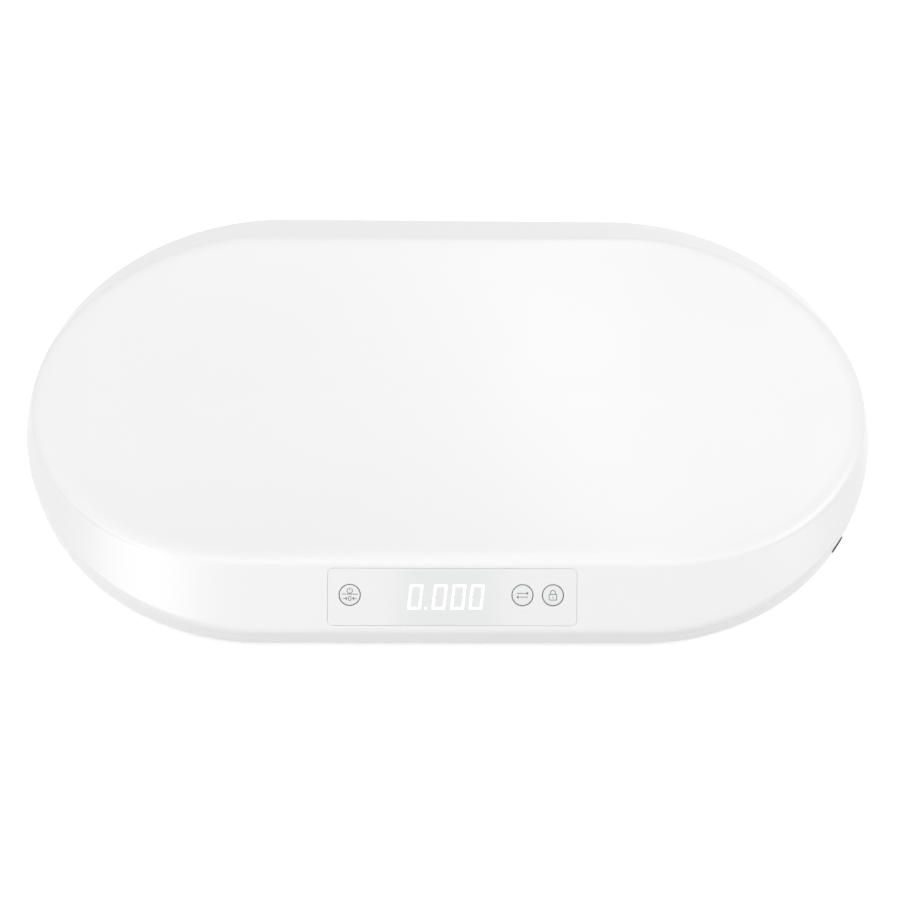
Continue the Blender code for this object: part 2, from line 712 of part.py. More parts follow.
def base_cover():
    cover = part("base_cover", loft("base_cover", base_rings()), "white_shell")
    embedded = FOOT_HEIGHT + WALL / 2

    block_top = CELL_BOTTOM + CELL_THICKNESS / 2
    blocks = [square_at(corner_place(c), CELL_BLOCK, embedded, block_top) for c in CORNERS]
    join(cover, tool("cell_blocks", boxes("cell_blocks", blocks)))
    pegs = [place for c in CORNERS for place in peg_places(corner_place(c), CELL_BLOCK - CELL_FENCE)]
    cell_pegs = cylinders("cell_pegs", pegs, PEG, CELL_BOTTOM, CLAMP_TOP + PEG_TIP, SMALL_STEPS)
    join(cover, tool("cell_pegs", cell_pegs))
    pockets = [
        square_at(corner_place(c), CELL_POCKET, CELL_BOTTOM - FIT_GAP, CELL_TOP + OVERRUN) for c in CORNERS
    ]
    cut(cover, tool("cell_pockets", boxes("cell_pockets", pockets)))
    foot_places = [corner_place(c) for c in CORNERS]
    foot_bores = cylinders(
        "foot_bores", foot_places, FOOT_RADIUS + FOOT_PLAY, FOOT_HEIGHT - OVERRUN, CELL_TOP, FINE_STEPS
    )
    cut(cover, tool("foot_bores", foot_bores))
    notches = []
    for corner, (side_x, _) in CORNERS.items():
        x, y = corner_place(corner)
        low_x, high_x = sorted((x - side_x * CELL_SIZE / 2, x - side_x * (CELL_BLOCK / 2 + OVERRUN)))
        low_corner = (low_x, y - LEAD_NOTCH / 2, CELL_BOTTOM - FIT_GAP)
        notches.append((low_corner, (high_x, y + LEAD_NOTCH / 2, CELL_TOP)))
    cut(cover, tool("lead_notches", boxes("lead_notches", notches)))

    shoulder = FOOT_HEIGHT + SCREW_SHOULDER
    hole = BODY_SCREW_SHANK + FIT_GAP
    counterbore = BODY_SCREW_HEAD + FIT_GAP
    bosses = cylinders(
        "base_bosses", body_screw_places(), counterbore + BOSS_WALL, embedded, shoulder + BOSS_SPLIT_HEIGHT,
        ROUND_STEPS,
    )
    join(cover, tool("base_bosses", bosses))
    counterbores = cylinders(
        "counterbores", body_screw_places(), counterbore, FOOT_HEIGHT - OVERRUN, shoulder, ROUND_STEPS
    )
    cut(cover, tool("counterbores", counterbores))
    screw_holes = cylinders(
        "screw_holes", body_screw_places(), hole, shoulder - OVERRUN, shoulder + BOSS_SPLIT_HEIGHT + OVERRUN,
        SMALL_STEPS,
    )
    cut(cover, tool("screw_holes", screw_holes))

    board_bosses = cylinders(
        "board_bosses", main_board_holes(), SMALL_BOSS, embedded, FLOOR + BOARD_STANDOFF, SMALL_STEPS
    )
    join(cover, tool("board_bosses", board_bosses))
    board_pegs = cylinders(
        "board_pegs", main_board_holes()[2:], PEG, FLOOR, MAIN_BOARD_TOP + PEG_TIP, SMALL_STEPS
    )
    join(cover, tool("board_pegs", board_pegs))
    clip_bosses = cylinders(
        "clip_bosses", clip_holes(), SMALL_BOSS, embedded, FLOOR + CLIP_BOSS_HEIGHT, SMALL_STEPS
    )
    join(cover, tool("clip_bosses", clip_bosses))
    fence_length = BATTERY_LENGTH + 2 * FIT_GAP + 2 * FENCE_WALL
    fence = []
    for side in (-1, 1):
        for end in (-1, 1):
            x = BATTERY_X + end * (fence_length / 2 - FENCE_WALL / 2)
            y = BATTERY_Y + side * (BATTERY_WIDTH / 2 - FENCE_LENGTH)
            low_corner = (x - FENCE_WALL / 2, y - FENCE_LENGTH / 2, embedded)
            fence.append((low_corner, (x + FENCE_WALL / 2, y + FENCE_LENGTH / 2, FLOOR + FENCE_HEIGHT)))
    join(cover, tool("battery_fence", boxes("battery_fence", fence)))
    small_pilots = cylinders(
        "small_pilots", main_board_holes()[:2] + clip_holes(), SMALL_SHANK + FIT_GAP,
        MAIN_BOARD_TOP - SMALL_LENGTH, FLOOR + CLIP_BOSS_HEIGHT + OVERRUN, SMALL_STEPS,
    )
    cut(cover, tool("small_pilots", small_pilots))

    wall_side = port_frame()
    usb_top = usb_board_bottom() - FIT_GAP
    usb_low = embedded - PORT_LEVEL
    usb_bosses = cylinders("usb_bosses", usb_board_holes(), SMALL_BOSS, usb_low, usb_top, SMALL_STEPS)
    join(cover, tool("usb_bosses", usb_bosses, wall_side))
    usb_pilots = cylinders(
        "usb_pilots", usb_board_holes(), SMALL_SHANK + FIT_GAP,
        usb_board_bottom() + BOARD_THICKNESS - USB_SCREW_LENGTH, usb_top + OVERRUN, SMALL_STEPS,
    )
    cut(cover, tool("usb_pilots", usb_pilots, wall_side))
    opening = plate(
        "port_opening", [rounded_rectangle(PORT_WIDTH, PORT_OPENING_HEIGHT, PORT_CORNER)],
        -WALL - FIT_GAP / 2, OVERRUN,
    )
    upright = Matrix.Rotation(math.radians(-90), 4, "X")
    cut(cover, tool("port_opening", opening, wall_side @ upright))


# Display panel, keys and switches

def display_panel():
    middle = (0, PANEL_RISE)
    outlines = [rounded_rectangle(PANEL_WIDTH, PANEL_HEIGHT, PANEL_CORNER, middle)]
    for u in KEY_PLACES.values():
        outlines.append(circle(KEY_RADIUS + FIT_GAP, (u, PANEL_RISE + KEY_RISE), FINE_STEPS))
    part("display_panel", plate("display_panel", outlines, -PANEL_THICKNESS, 0), "white_panel", APRON)


def keys():
    cap_low = -RECESS_DEPTH
    flange_low = cap_low - KEY_FLANGE_HEIGHT
    stem_low = flange_low - KEY_STEM_LENGTH
    plunger_top = stem_low - FIT_GAP
    plunger_low = plunger_top - PLUNGER_LENGTH
    switch_low = DISPLAY_BOARD_TOP + FIT_GAP
    for key in KEY_PLACES:
        frame = key_frame(key)
        cap = [
            (0, 0),
            (KEY_RADIUS - KEY_EDGE, 0),
            (KEY_RADIUS, -KEY_EDGE),
            (KEY_RADIUS, cap_low),
            (KEY_RADIUS + KEY_FLANGE, cap_low),
            (KEY_RADIUS + KEY_FLANGE, flange_low),
            (KEY_STEM, flange_low),
            (KEY_STEM, stem_low),
            (0, stem_low),
        ]
        part(f"key_{key}", turned(f"key_{key}", cap, FINE_STEPS), "white_key", frame)
        pin_side = [(PLUNGER_RADIUS, plunger_top), (PLUNGER_RADIUS, plunger_low)]
        pin = [(0, plunger_top), *pin_side, (0, plunger_low)]
        part(f"plunger_{key}", turned(f"plunger_{key}", pin, SMALL_STEPS), "black_plastic", frame)
        half = SWITCH_SIZE / 2
        switch_corners = ((-half, -half, switch_low), (half, half, switch_low + SWITCH_HEIGHT))
        body = boxes(f"switch_{key}", [switch_corners])
        switch = part(f"switch_{key}", body, "plated_steel", frame)
        well_low = plunger_low - KEY_TRAVEL - FIT_GAP
        well = cylinders(f"well_{key}", [(0, 0)], PLUNGER_RADIUS + FIT_GAP, well_low, 0, SMALL_STEPS)
        cut(switch, tool(f"well_{key}", well, frame))


def display_module():
    low = (LED_SHIFT - LED_WIDTH / 2, PANEL_RISE - LED_HEIGHT / 2, DISPLAY_BOARD_TOP + FIT_GAP)
    high = (LED_SHIFT + LED_WIDTH / 2, PANEL_RISE + LED_HEIGHT / 2, -RECESS_DEPTH)
    module = part("led_display", boxes("led_display", [(low, high)]), "display_white", APRON)
    bevel(module, LED_EDGE, 1)


def display_board():
    edge = rounded_rectangle(DISPLAY_BOARD_WIDTH, DISPLAY_BOARD_HEIGHT, BOARD_CORNER, display_board_centre())
    holes = display_board_holes()
    outlines = [edge]
    outlines += [circle(SMALL_SHANK + FIT_GAP, place) for place in holes[:2]]
    outlines += [circle(PEG + FIT_GAP, place) for place in holes[2:]]
    low = DISPLAY_BOARD_TOP - BOARD_THICKNESS
    part("display_board", plate("display_board", outlines, low, DISPLAY_BOARD_TOP), "board_green", APRON)
    flip = Matrix.Rotation(math.pi, 4, "X")
    for side, (u, v) in zip(("left", "right"), holes[:2]):
        seat = APRON @ Matrix.Translation((u, v, low - FIT_GAP)) @ flip
        small_screw(f"display_screw_{side}", seat)


# Screws, with the head's bearing face at the origin and the shank down local Z

def screw_profile(shank, head, head_height, length):
    return [
        (0, head_height),
        (head * HEAD_CROWN_SHARE, head_height),
        (head, head_height * HEAD_SIDE_SHARE),
        (head, 0),
        (shank, 0),
        (shank, -length + shank),
        (0, -length),
    ]


def small_screw(name, frame):
    profile = screw_profile(SMALL_SHANK, SMALL_HEAD, SMALL_HEAD_HEIGHT, SMALL_LENGTH)
    part(name, turned(name, profile, SMALL_STEPS), "plated_steel", frame)


def body_screws():
    flip = Matrix.Rotation(math.pi, 4, "X")
    seat = FOOT_HEIGHT + SCREW_SHOULDER - FIT_GAP
    length = BOSS_SPLIT_HEIGHT + 2 * FIT_GAP + BODY_SCREW_BITE
    profile = screw_profile(BODY_SCREW_SHANK, BODY_SCREW_HEAD, BODY_SCREW_HEAD_HEIGHT, length)
    for number, (x, y) in enumerate(body_screw_places(), 1):
        name = f"body_screw_{number}"
        frame = Matrix.Translation((x, y, seat)) @ flip
        part(name, turned(name, profile, SMALL_STEPS), "plated_steel", frame)


# Feet and load cells

def foot_profile():
    pad_top = PAD_THICKNESS + FIT_GAP
    web = pad_top + CUP_WEB
    shoulder = CELL_BOTTOM - FOOT_TRAVEL_GAP
    head = CELL_TOP + FIT_GAP
    return [
        (0, head + STEM_HEAD_HEIGHT),
        (STEM_HEAD * STEM_CROWN_SHARE, head + STEM_HEAD_HEIGHT),
        (STEM_HEAD, head),
        (STEM_NECK, head),
        (STEM_NECK, shoulder),
        (STEM_SHOULDER, shoulder),
        (STEM_SHOULDER, web),
        (FOOT_RADIUS - CUP_EDGE, web),
        (FOOT_RADIUS, web - CUP_EDGE),
        (FOOT_RADIUS, CUP_CLEARANCE),
        (PAD_RADIUS + FIT_GAP, CUP_CLEARANCE),
        (PAD_RADIUS + FIT_GAP, pad_top),
        (0, pad_top),
    ]


def cell_outlines():
    """The plate's edge, the U slot that frees its tongue, and the hole for the foot's neck."""
    half_tongue = CELL_TONGUE_WIDTH / 2
    outer = half_tongue + CELL_SLOT
    low, high = -CELL_SLOT_LENGTH / 2, CELL_SLOT_LENGTH / 2
    slot = [
        (-outer, low), (-half_tongue, low), (-half_tongue, high - CELL_SLOT), (half_tongue, high - CELL_SLOT),
        (half_tongue, low), (outer, low), (outer, high), (-outer, high),
    ]
    edge = rounded_rectangle(CELL_SIZE, CELL_SIZE, CELL_CORNER)
    return [edge, slot, circle(STEM_NECK + CELL_HOLE_PLAY, steps=ROUND_STEPS)]


def clamp_outlines():
    window = rounded_rectangle(CLAMP_WINDOW, CLAMP_WINDOW, CELL_CORNER)
    holes = [circle(PEG + FIT_GAP, place) for place in peg_places((0, 0), CELL_BLOCK - CELL_FENCE)]
    return [rounded_rectangle(CELL_BLOCK, CELL_BLOCK, CELL_CORNER), window, *holes]


def corner_supports():
    pad = [
        (0, PAD_THICKNESS),
        (PAD_RADIUS - PAD_EDGE, PAD_THICKNESS),
        (PAD_RADIUS, PAD_THICKNESS - PAD_EDGE),
        (PAD_RADIUS, PAD_EDGE),
        (PAD_RADIUS - PAD_EDGE, 0),
        (0, 0),
    ]
    for corner in CORNERS:
        x, y = corner_place(corner)
        frame = Matrix.Translation((x, y, 0))
        cup, rubber = f"foot_cup_{corner}", f"foot_pad_{corner}"
        part(cup, turned(cup, foot_profile(), FINE_STEPS), "foot_plastic", frame)
        part(rubber, turned(rubber, pad, FINE_STEPS), "foot_rubber", frame)
        cell, clamp = f"load_cell_{corner}", f"cell_clamp_{corner}"
        part(cell, plate(cell, cell_outlines(), CELL_BOTTOM, CELL_TOP), "plated_steel", frame)
        part(clamp, plate(clamp, clamp_outlines(), CLAMP_BOTTOM, CLAMP_TOP), "foot_plastic", frame)


# Main board, battery and charging socket

def connector_places():
    """Sockets for the leads: cells and battery on the ends of the main board, the others at its front."""
    edge = MAIN_BOARD_LENGTH / 2 - CONNECTOR_INSET - CONNECTOR_LENGTH / 2
    front = MAIN_BOARD_Y - MAIN_BOARD_WIDTH / 2 + CONNECTOR_INSET + CONNECTOR_LENGTH / 2
    places = {
        f"{end_name}_{side_name}": (MAIN_BOARD_X + side * edge, MAIN_BOARD_Y + end * CONNECTOR_SPREAD / 2)
        for side_name, side in (("left", -1), ("right", 1))
        for end_name, end in (("front", -1), ("back", 1))
    }
    places["battery"] = (MAIN_BOARD_X + edge, MAIN_BOARD_Y)
    places["front"] = (MAIN_BOARD_X, front)
    places["charge"] = (MAIN_BOARD_X + CONNECTOR_SPREAD, front)
    return places


def main_board():
    centre = (MAIN_BOARD_X, MAIN_BOARD_Y)
    holes = main_board_holes()
    outlines = [rounded_rectangle(MAIN_BOARD_LENGTH, MAIN_BOARD_WIDTH, BOARD_CORNER, centre)]
    outlines += [circle(SMALL_SHANK + FIT_GAP, place) for place in holes[:2]]
    outlines += [circle(PEG + FIT_GAP, place) for place in holes[2:]]
    board = part(
        "main_board", plate("main_board", outlines, MAIN_BOARD_BOTTOM, MAIN_BOARD_TOP), "board_green"
    )
    sunk = MAIN_BOARD_TOP - BOARD_THICKNESS / 2
    mounted = [square_at(centre, CHIP_SIZE, sunk, MAIN_BOARD_TOP + CHIP_HEIGHT)]
    for name, (x, y) in connector_places().items():
        half = (CONNECTOR_LENGTH / 2, CONNECTOR_WIDTH / 2)
        if name in ("front", "charge"):
            half = half[::-1]
        low_corner = (x - half[0], y - half[1], sunk)
        mounted.append((low_corner, (x + half[0], y + half[1], MAIN_BOARD_TOP + CONNECTOR_HEIGHT)))
    join(board, tool("board_parts", boxes("board_parts", mounted)))
    for side, (x, y) in zip(("front", "back"), holes[:2]):
        small_screw(f"main_board_screw_{side}", Matrix.Translation((x, y, MAIN_BOARD_TOP + FIT_GAP)))


def battery():
    half = (BATTERY_LENGTH / 2, BATTERY_WIDTH / 2)
    low = (BATTERY_X - half[0], BATTERY_Y - half[1], BATTERY_BOTTOM)
    high = (BATTERY_X + half[0], BATTERY_Y + half[1], BATTERY_TOP)
    cell = part("battery", boxes("battery", [(low, high)]), "battery_foil")
    bevel(cell, BATTERY_EDGE)


def battery_clip():
    """A strap bent over the battery, with a screwed foot on each side, drawn as an outline across it."""
    inner = BATTERY_WIDTH / 2 + FIT_GAP
    outer = inner + CLIP_THICKNESS
    foot = outer + CLIP_FOOT
    low = FLOOR + CLIP_BOSS_HEIGHT + FIT_GAP
    under = BATTERY_TOP + FIT_GAP
    top = under + CLIP_THICKNESS
    foot_top = low + CLIP_THICKNESS
    half = [(outer, top), (outer, foot_top), (foot, foot_top), (foot, low), (inner, low), (inner, under)]
    outline = half + [(-y, z) for y, z in reversed(half)]
    strap = plate("battery_clip", [outline], -CLIP_WIDTH / 2, CLIP_WIDTH / 2)
    across = Matrix(((0, 0, 1, BATTERY_X), (1, 0, 0, BATTERY_Y), (0, 1, 0, 0), (0, 0, 0, 1)))
    clip = part("battery_clip", strap, "foot_plastic", across)
    holes = cylinders(
        "clip_screw_holes", clip_holes(), SMALL_SHANK + FIT_GAP, low - OVERRUN, foot_top + OVERRUN,
        SMALL_STEPS,
    )
    cut(clip, tool("clip_screw_holes", holes))
    for side, (x, y) in zip(("front", "back"), clip_holes()):
        small_screw(f"clip_screw_{side}", Matrix.Translation((x, y, foot_top + FIT_GAP)))


def charging_socket():
    wall_side = port_frame()
    upright = Matrix.Rotation(math.radians(-90), 4, "X")
    mouth = -WALL - SOCKET_SETBACK
    shell = plate(
        "usb_socket", [rounded_rectangle(SOCKET_WIDTH, SOCKET_HEIGHT, SOCKET_HEIGHT / 2 - SOCKET_WALL)],
        mouth - SOCKET_DEPTH, mouth,
    )
    socket = part("usb_socket", shell, "plated_steel", wall_side @ upright)
    inside = (SOCKET_WIDTH - 2 * SOCKET_WALL, SOCKET_HEIGHT - 2 * SOCKET_WALL)
    back = mouth - SOCKET_DEPTH + TONGUE_SETBACK
    cavity_outline = rounded_rectangle(*inside, inside[1] / 2 - SOCKET_WALL)
    cavity = plate("socket_cavity", [cavity_outline], back, mouth + OVERRUN)
    cut(socket, tool("socket_cavity", cavity, wall_side @ upright))
    tongue = [(
        (-TONGUE_WIDTH / 2, -TONGUE_THICKNESS / 2, back - TONGUE_SETBACK / 2),
        (TONGUE_WIDTH / 2, TONGUE_THICKNESS / 2, mouth - TONGUE_SETBACK),
    )]
    join(socket, tool("socket_tongue", boxes("socket_tongue", tongue), wall_side @ upright))

    low = usb_board_bottom()
    middle = (0, -(USB_BOARD_FRONT + USB_BOARD_DEPTH / 2))
    outlines = [rounded_rectangle(USB_BOARD_WIDTH, USB_BOARD_DEPTH, BOARD_CORNER, middle)]
    outlines += [circle(SMALL_SHANK + FIT_GAP, place) for place in usb_board_holes()]
    part("usb_board", plate("usb_board", outlines, low, low + BOARD_THICKNESS), "board_green", wall_side)
    for side, (x, y) in zip(("left", "right"), usb_board_holes()):
        seat = wall_side @ Matrix.Translation((x, y, low + BOARD_THICKNESS + FIT_GAP))
        name = f"usb_screw_{side}"
        profile = screw_profile(SMALL_SHANK, SMALL_HEAD, SMALL_HEAD_HEIGHT, USB_SCREW_LENGTH)
        part(name, turned(name, profile, SMALL_STEPS), "plated_steel", seat)


# Leads from the cells, the display, the battery and the socket to the main board

def spline_point(places, knots, knot):
    """The point at a knot value of the centripetal Catmull-Rom curve between the middle two places."""
    level = list(places)
    for span in (1, 2, 3):
        mixed = []
        for index in range(len(level) - 1):
            first = index if span < 3 else 1
            last = index + span if span < 3 else 2
            share = (knot - knots[first]) / (knots[last] - knots[first])
            mixed.append(level[index].lerp(level[index + 1], share))
        level = mixed
    return level[0]


def smooth_route(points):
    """Points at an even step along a smooth curve through the route's own points, none under the floor."""
    points = [Vector(point) for point in points]
    ends = [2 * points[0] - points[1], *points, 2 * points[-1] - points[-2]]
    route = []
    for index in range(1, len(ends) - 2):
        places = ends[index - 1:index + 3]
        knots = [0]
        for place, after in zip(places, places[1:]):
            knots.append(knots[-1] + math.sqrt((after - place).length))
        steps = max(2, round((places[2] - places[1]).length / LEAD_STEP))
        for step in range(steps):
            knot = knots[1] + (knots[2] - knots[1]) * step / steps
            route.append(spline_point(places, knots, knot))
    route.append(points[-1])
    for place in route:
        place.z = max(place.z, LEAD_LEVEL)
    return route


def lead(name, points, finish):
    curve = bpy.data.curves.new(name, "CURVE")
    curve.dimensions = "3D"
    curve.bevel_depth = LEAD_RADIUS
    curve.bevel_resolution = 1
    curve.use_fill_caps = True
    route = smooth_route(points)
    spline = curve.splines.new("POLY")
    spline.points.add(len(route) - 1)
    for point, place in zip(spline.points, route):
        point.co = (*place, 1)
    obj = bpy.data.objects.new(name, curve)
    PARTS.objects.link(obj)
    part(name, evaluated_mesh(obj, name), finish)


def cell_leads():
    """From each cell through the notch in its block, down to the floor and along it to the main board."""
    cell_level = (CELL_BOTTOM + CELL_TOP) / 2
    for corner, (side_x, side_y) in CORNERS.items():
        x, y = corner_place(corner)
        plug_x, plug_y = connector_places()[corner]
        plug_x += side_x * (CONNECTOR_LENGTH / 2 + FIT_GAP)
        block = x - side_x * CELL_BLOCK / 2
        points = [
            (x - side_x * (CELL_SIZE / 2 + FIT_GAP), y, cell_level),
            (block, y, cell_level),
            (block - side_x * LEAD_DROP, y, LEAD_LEVEL + LEAD_RADIUS),
            (block - side_x * 2 * LEAD_DROP, y, LEAD_LEVEL),
        ]
        if side_x > 0:
            around = BATTERY_Y + side_y * (BATTERY_WIDTH / 2 + CLIP_FOOT + LEAD_DROP)
            points += [
                (BATTERY_X + BATTERY_LENGTH / 2, around, LEAD_LEVEL),
                (BATTERY_X - BATTERY_LENGTH / 4, around, LEAD_LEVEL),
            ]
        else:
            points.append(((block + plug_x) / 2, (y + plug_y) / 2, LEAD_LEVEL))
        points += [
            (plug_x + side_x * LEAD_DROP, plug_y, LEAD_PLUG_LEVEL - LEAD_RADIUS),
            (plug_x, plug_y, LEAD_PLUG_LEVEL),
        ]
        lead(f"cell_lead_{corner}", points, "lead_white")


def display_lead():
    """From the back of the display board down to the floor and to the front of the main board."""
    start = APRON @ Vector((LED_SHIFT, PANEL_RISE, DISPLAY_BOARD_TOP - BOARD_THICKNESS - FIT_GAP))
    plug_x, plug_y = connector_places()["front"]
    plug_y -= CONNECTOR_LENGTH / 2 + FIT_GAP
    points = [
        start,
        APRON @ Vector((LED_SHIFT, PANEL_RISE, DISPLAY_BOARD_TOP - BOARD_THICKNESS - LEAD_DROP / 2)),
        (LED_SHIFT, start.y + 2 * LEAD_DROP, LEAD_LEVEL + LEAD_RADIUS),
        (LED_SHIFT, start.y + 4 * LEAD_DROP, LEAD_LEVEL),
        (plug_x, plug_y - 2 * LEAD_DROP, LEAD_LEVEL + LEAD_RADIUS),
        (plug_x, plug_y - LEAD_DROP, LEAD_PLUG_LEVEL - LEAD_RADIUS),
        (plug_x, plug_y, LEAD_PLUG_LEVEL),
    ]
    lead("display_lead", points, "lead_white")


def battery_lead():
    """From the end of the battery to the middle of the main board's right edge."""
    plug_x, plug_y = connector_places()["battery"]
    plug_x += CONNECTOR_LENGTH / 2 + FIT_GAP
    level = (BATTERY_BOTTOM + BATTERY_TOP) / 2
    end_x = BATTERY_X - BATTERY_LENGTH / 2 - FIT_GAP
    points = [
        (end_x, BATTERY_Y, level),
        (end_x - LEAD_DROP, BATTERY_Y + LEAD_RADIUS, level),
        (plug_x + LEAD_DROP, plug_y - LEAD_RADIUS, LEAD_PLUG_LEVEL),
        (plug_x, plug_y, LEAD_PLUG_LEVEL),
    ]
    lead("battery_lead", points, "lead_red")


def socket_lead():
    """From the back of the charging board, round the front right cell, to the front of the main board."""
    low = usb_board_bottom() + BOARD_THICKNESS / 2
    back = -(USB_BOARD_FRONT + USB_BOARD_DEPTH + FIT_GAP)
    wall_side = port_frame()
    x, y = corner_place("front_right")
    plug_x, plug_y = connector_places()["charge"]
    plug_y -= CONNECTOR_LENGTH / 2 + FIT_GAP
    beside = CELL_BLOCK / 2 + LEAD_DROP
    points = [
        wall_side @ Vector((0, back, low)),
        wall_side @ Vector((0, back - LEAD_DROP, low)),
        (x + beside, y, LEAD_LEVEL),
        (x + CELL_BLOCK / 2, y - beside, LEAD_LEVEL),
        (x - CELL_BLOCK / 2, y - beside, LEAD_LEVEL),
        (x - CELL_BLOCK - LEAD_DROP, y - CELL_BLOCK / 2, LEAD_LEVEL),
        (plug_x + 3 * LEAD_DROP, plug_y - 4 * LEAD_DROP, LEAD_LEVEL),
        (plug_x, plug_y - LEAD_DROP, LEAD_PLUG_LEVEL - LEAD_RADIUS),
        (plug_x, plug_y, LEAD_PLUG_LEVEL),
    ]
    lead("socket_lead", points, "lead_red")


top_cover()
base_cover()
display_panel()
keys()
display_module()
display_board()
body_screws()
corner_supports()
main_board()
battery()
battery_clip()
charging_socket()
cell_leads()
display_lead()
battery_lead()
socket_lead()
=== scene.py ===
"""The looks of a digital baby weighing scale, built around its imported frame.

Both covers are swept from a section by one geometry tree, and then cut for the panel, the feet, the
screws and the charging port. Everything is in metres, in the frame's own axes, with +Z up.
"""
import math

import bmesh
import bpy
from mathutils import Matrix, Vector


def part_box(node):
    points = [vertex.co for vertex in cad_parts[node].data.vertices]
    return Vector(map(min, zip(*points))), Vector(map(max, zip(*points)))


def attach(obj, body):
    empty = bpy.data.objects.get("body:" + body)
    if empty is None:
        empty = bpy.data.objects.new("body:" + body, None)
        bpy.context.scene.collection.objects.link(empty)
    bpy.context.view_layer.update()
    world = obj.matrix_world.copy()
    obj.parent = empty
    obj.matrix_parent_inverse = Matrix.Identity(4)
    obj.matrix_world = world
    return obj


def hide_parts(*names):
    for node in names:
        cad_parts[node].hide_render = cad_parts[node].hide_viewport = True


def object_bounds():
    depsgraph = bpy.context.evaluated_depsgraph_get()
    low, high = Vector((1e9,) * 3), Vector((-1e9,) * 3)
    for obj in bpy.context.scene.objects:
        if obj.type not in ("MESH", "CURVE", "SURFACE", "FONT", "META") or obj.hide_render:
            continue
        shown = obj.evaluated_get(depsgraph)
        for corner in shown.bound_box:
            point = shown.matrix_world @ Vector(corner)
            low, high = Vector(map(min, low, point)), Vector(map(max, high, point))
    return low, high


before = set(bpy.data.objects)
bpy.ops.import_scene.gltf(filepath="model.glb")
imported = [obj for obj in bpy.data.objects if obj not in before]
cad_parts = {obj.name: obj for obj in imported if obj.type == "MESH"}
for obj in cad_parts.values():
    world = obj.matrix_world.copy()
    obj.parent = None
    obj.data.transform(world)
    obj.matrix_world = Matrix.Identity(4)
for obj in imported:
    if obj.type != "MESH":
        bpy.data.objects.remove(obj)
cad_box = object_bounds()

MM = 0.001

# Outline of the body, seen from above: straight sides between two round ends
BODY_LOW, BODY_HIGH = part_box("base_cover")
BODY_LENGTH = BODY_HIGH.x - BODY_LOW.x
BODY_WIDTH = BODY_HIGH.y - BODY_LOW.y
END_REACH = 160 * MM
FOOT_HEIGHT = BODY_LOW.z

# Heights and the tray's rim
SEAM_HEIGHT = FOOT_HEIGHT + 12.5 * MM
CREASE_HEIGHT = SEAM_HEIGHT + 5 * MM
RIM_HEIGHT = CREASE_HEIGHT + 25 * MM
RIM_END_DROP = 5.5 * MM
RIM_INSET_SIDE = 36.5 * MM
RIM_INSET_END = 7 * MM
RIM_END_REACH = 145 * MM
RIM_DROP_TURN = math.radians(60)
DISH_DEPTH = 13 * MM
DISH_POWER = 2.2

# Walls, gaps and rounded edges
WALL = 2.5 * MM
SEAM_GAP = 0.3 * MM
FIT_GAP = 0.3 * MM
RIM_EASE = 4.5 * MM
BROW_EASE = 8 * MM
CREASE_EASE = 3.0 * MM
FLAT_EDGE = 0.12 * MM
SKIRT_EASE = 0.35 * MM
BOTTOM_EDGE = 3 * MM
INNER_EASE = 2 * MM
LIP_HEIGHT = 2.5 * MM
LIP_WALL = 1.2 * MM
LIP_ROOT = 3 * MM
OVERRUN = 4 * MM
CUT_MARGIN = 0.02 * MM

# Panel, keys and what is under them
PANEL_THICKNESS = 1.5 * MM
PANEL_CORNER = 3 * MM
PANEL_EASE = 0.22 * MM
PANEL_BACKING = 2.2 * MM
BACKING_MARGIN = 1.5 * MM
RECESS_DEPTH = PANEL_THICKNESS + FIT_GAP
KEY_FLANGE = 0.8 * MM
KEY_FLANGE_HEIGHT = 1.2 * MM
KEY_STEM = 2.1 * MM
KEY_STEM_LENGTH = 2 * MM
KEY_EASE = 0.22 * MM
FILM_GAP = 0.14 * MM

# Room inside the covers, for the ribs, posts and bosses that the frame's covers have
TRAY_WALL = 3.4 * MM
ROOM_DEPTH = 3.2 * MM
ROOM_INSET = 5 * MM
SHOULDER_SHARE = 0.8
FLOOR_SINK = 0.05 * MM

# Prints on the panel and the keys
INK = 0.03 * MM
RING_RADIUS = 6.22 * MM
RING_LINE = 0.42 * MM
SIGN_LINE = 0.36 * MM
RULE_RISE = 0.45 * MM
RULE_REACH = 4.8 * MM
POWER_RADIUS = 1.6 * MM
POWER_RISE = 2.55 * MM
ZERO_HALF_WIDTH = 0.85 * MM
ZERO_HALF_HEIGHT = 1.3 * MM
ZERO_RISE = -2.15 * MM
SWAP_REACH = 3.3 * MM
SWAP_SPREAD = 1.15 * MM
ARROW_HEAD = 0.85 * MM
LOCK_WIDTH = 4.6 * MM
LOCK_HEIGHT = 3.4 * MM
LOCK_CORNER = 0.6 * MM
LOCK_RISE = -1.2 * MM
SHACKLE = 1.45 * MM

# Feet
FOOT_RADIUS = 17 * MM
FOOT_PLAY = 1 * MM
CUP_CLEARANCE = 1.4 * MM
CUP_WEB = 2.2 * MM
STEM_SHOULDER = 5.5 * MM
STEM_NECK = 2.8 * MM
STEM_HEAD = 4.4 * MM
STEM_CROWN = 0.6
GROOVES = 4
GROOVE_DEPTH = 0.5 * MM
GROOVE_WIDTH = 1.0 * MM
PAD_LAND = 1.6 * MM
PAD_EASE = 0.5 * MM

# Screws
SCREW_NUMBERS = range(1, 9)
SCREW_SHOULDER = 4.5 * MM
SCREW_RISE_SHARE = 0.69
BODY_SHANK = 1.35 * MM
SMALL_SHANK = 0.85 * MM

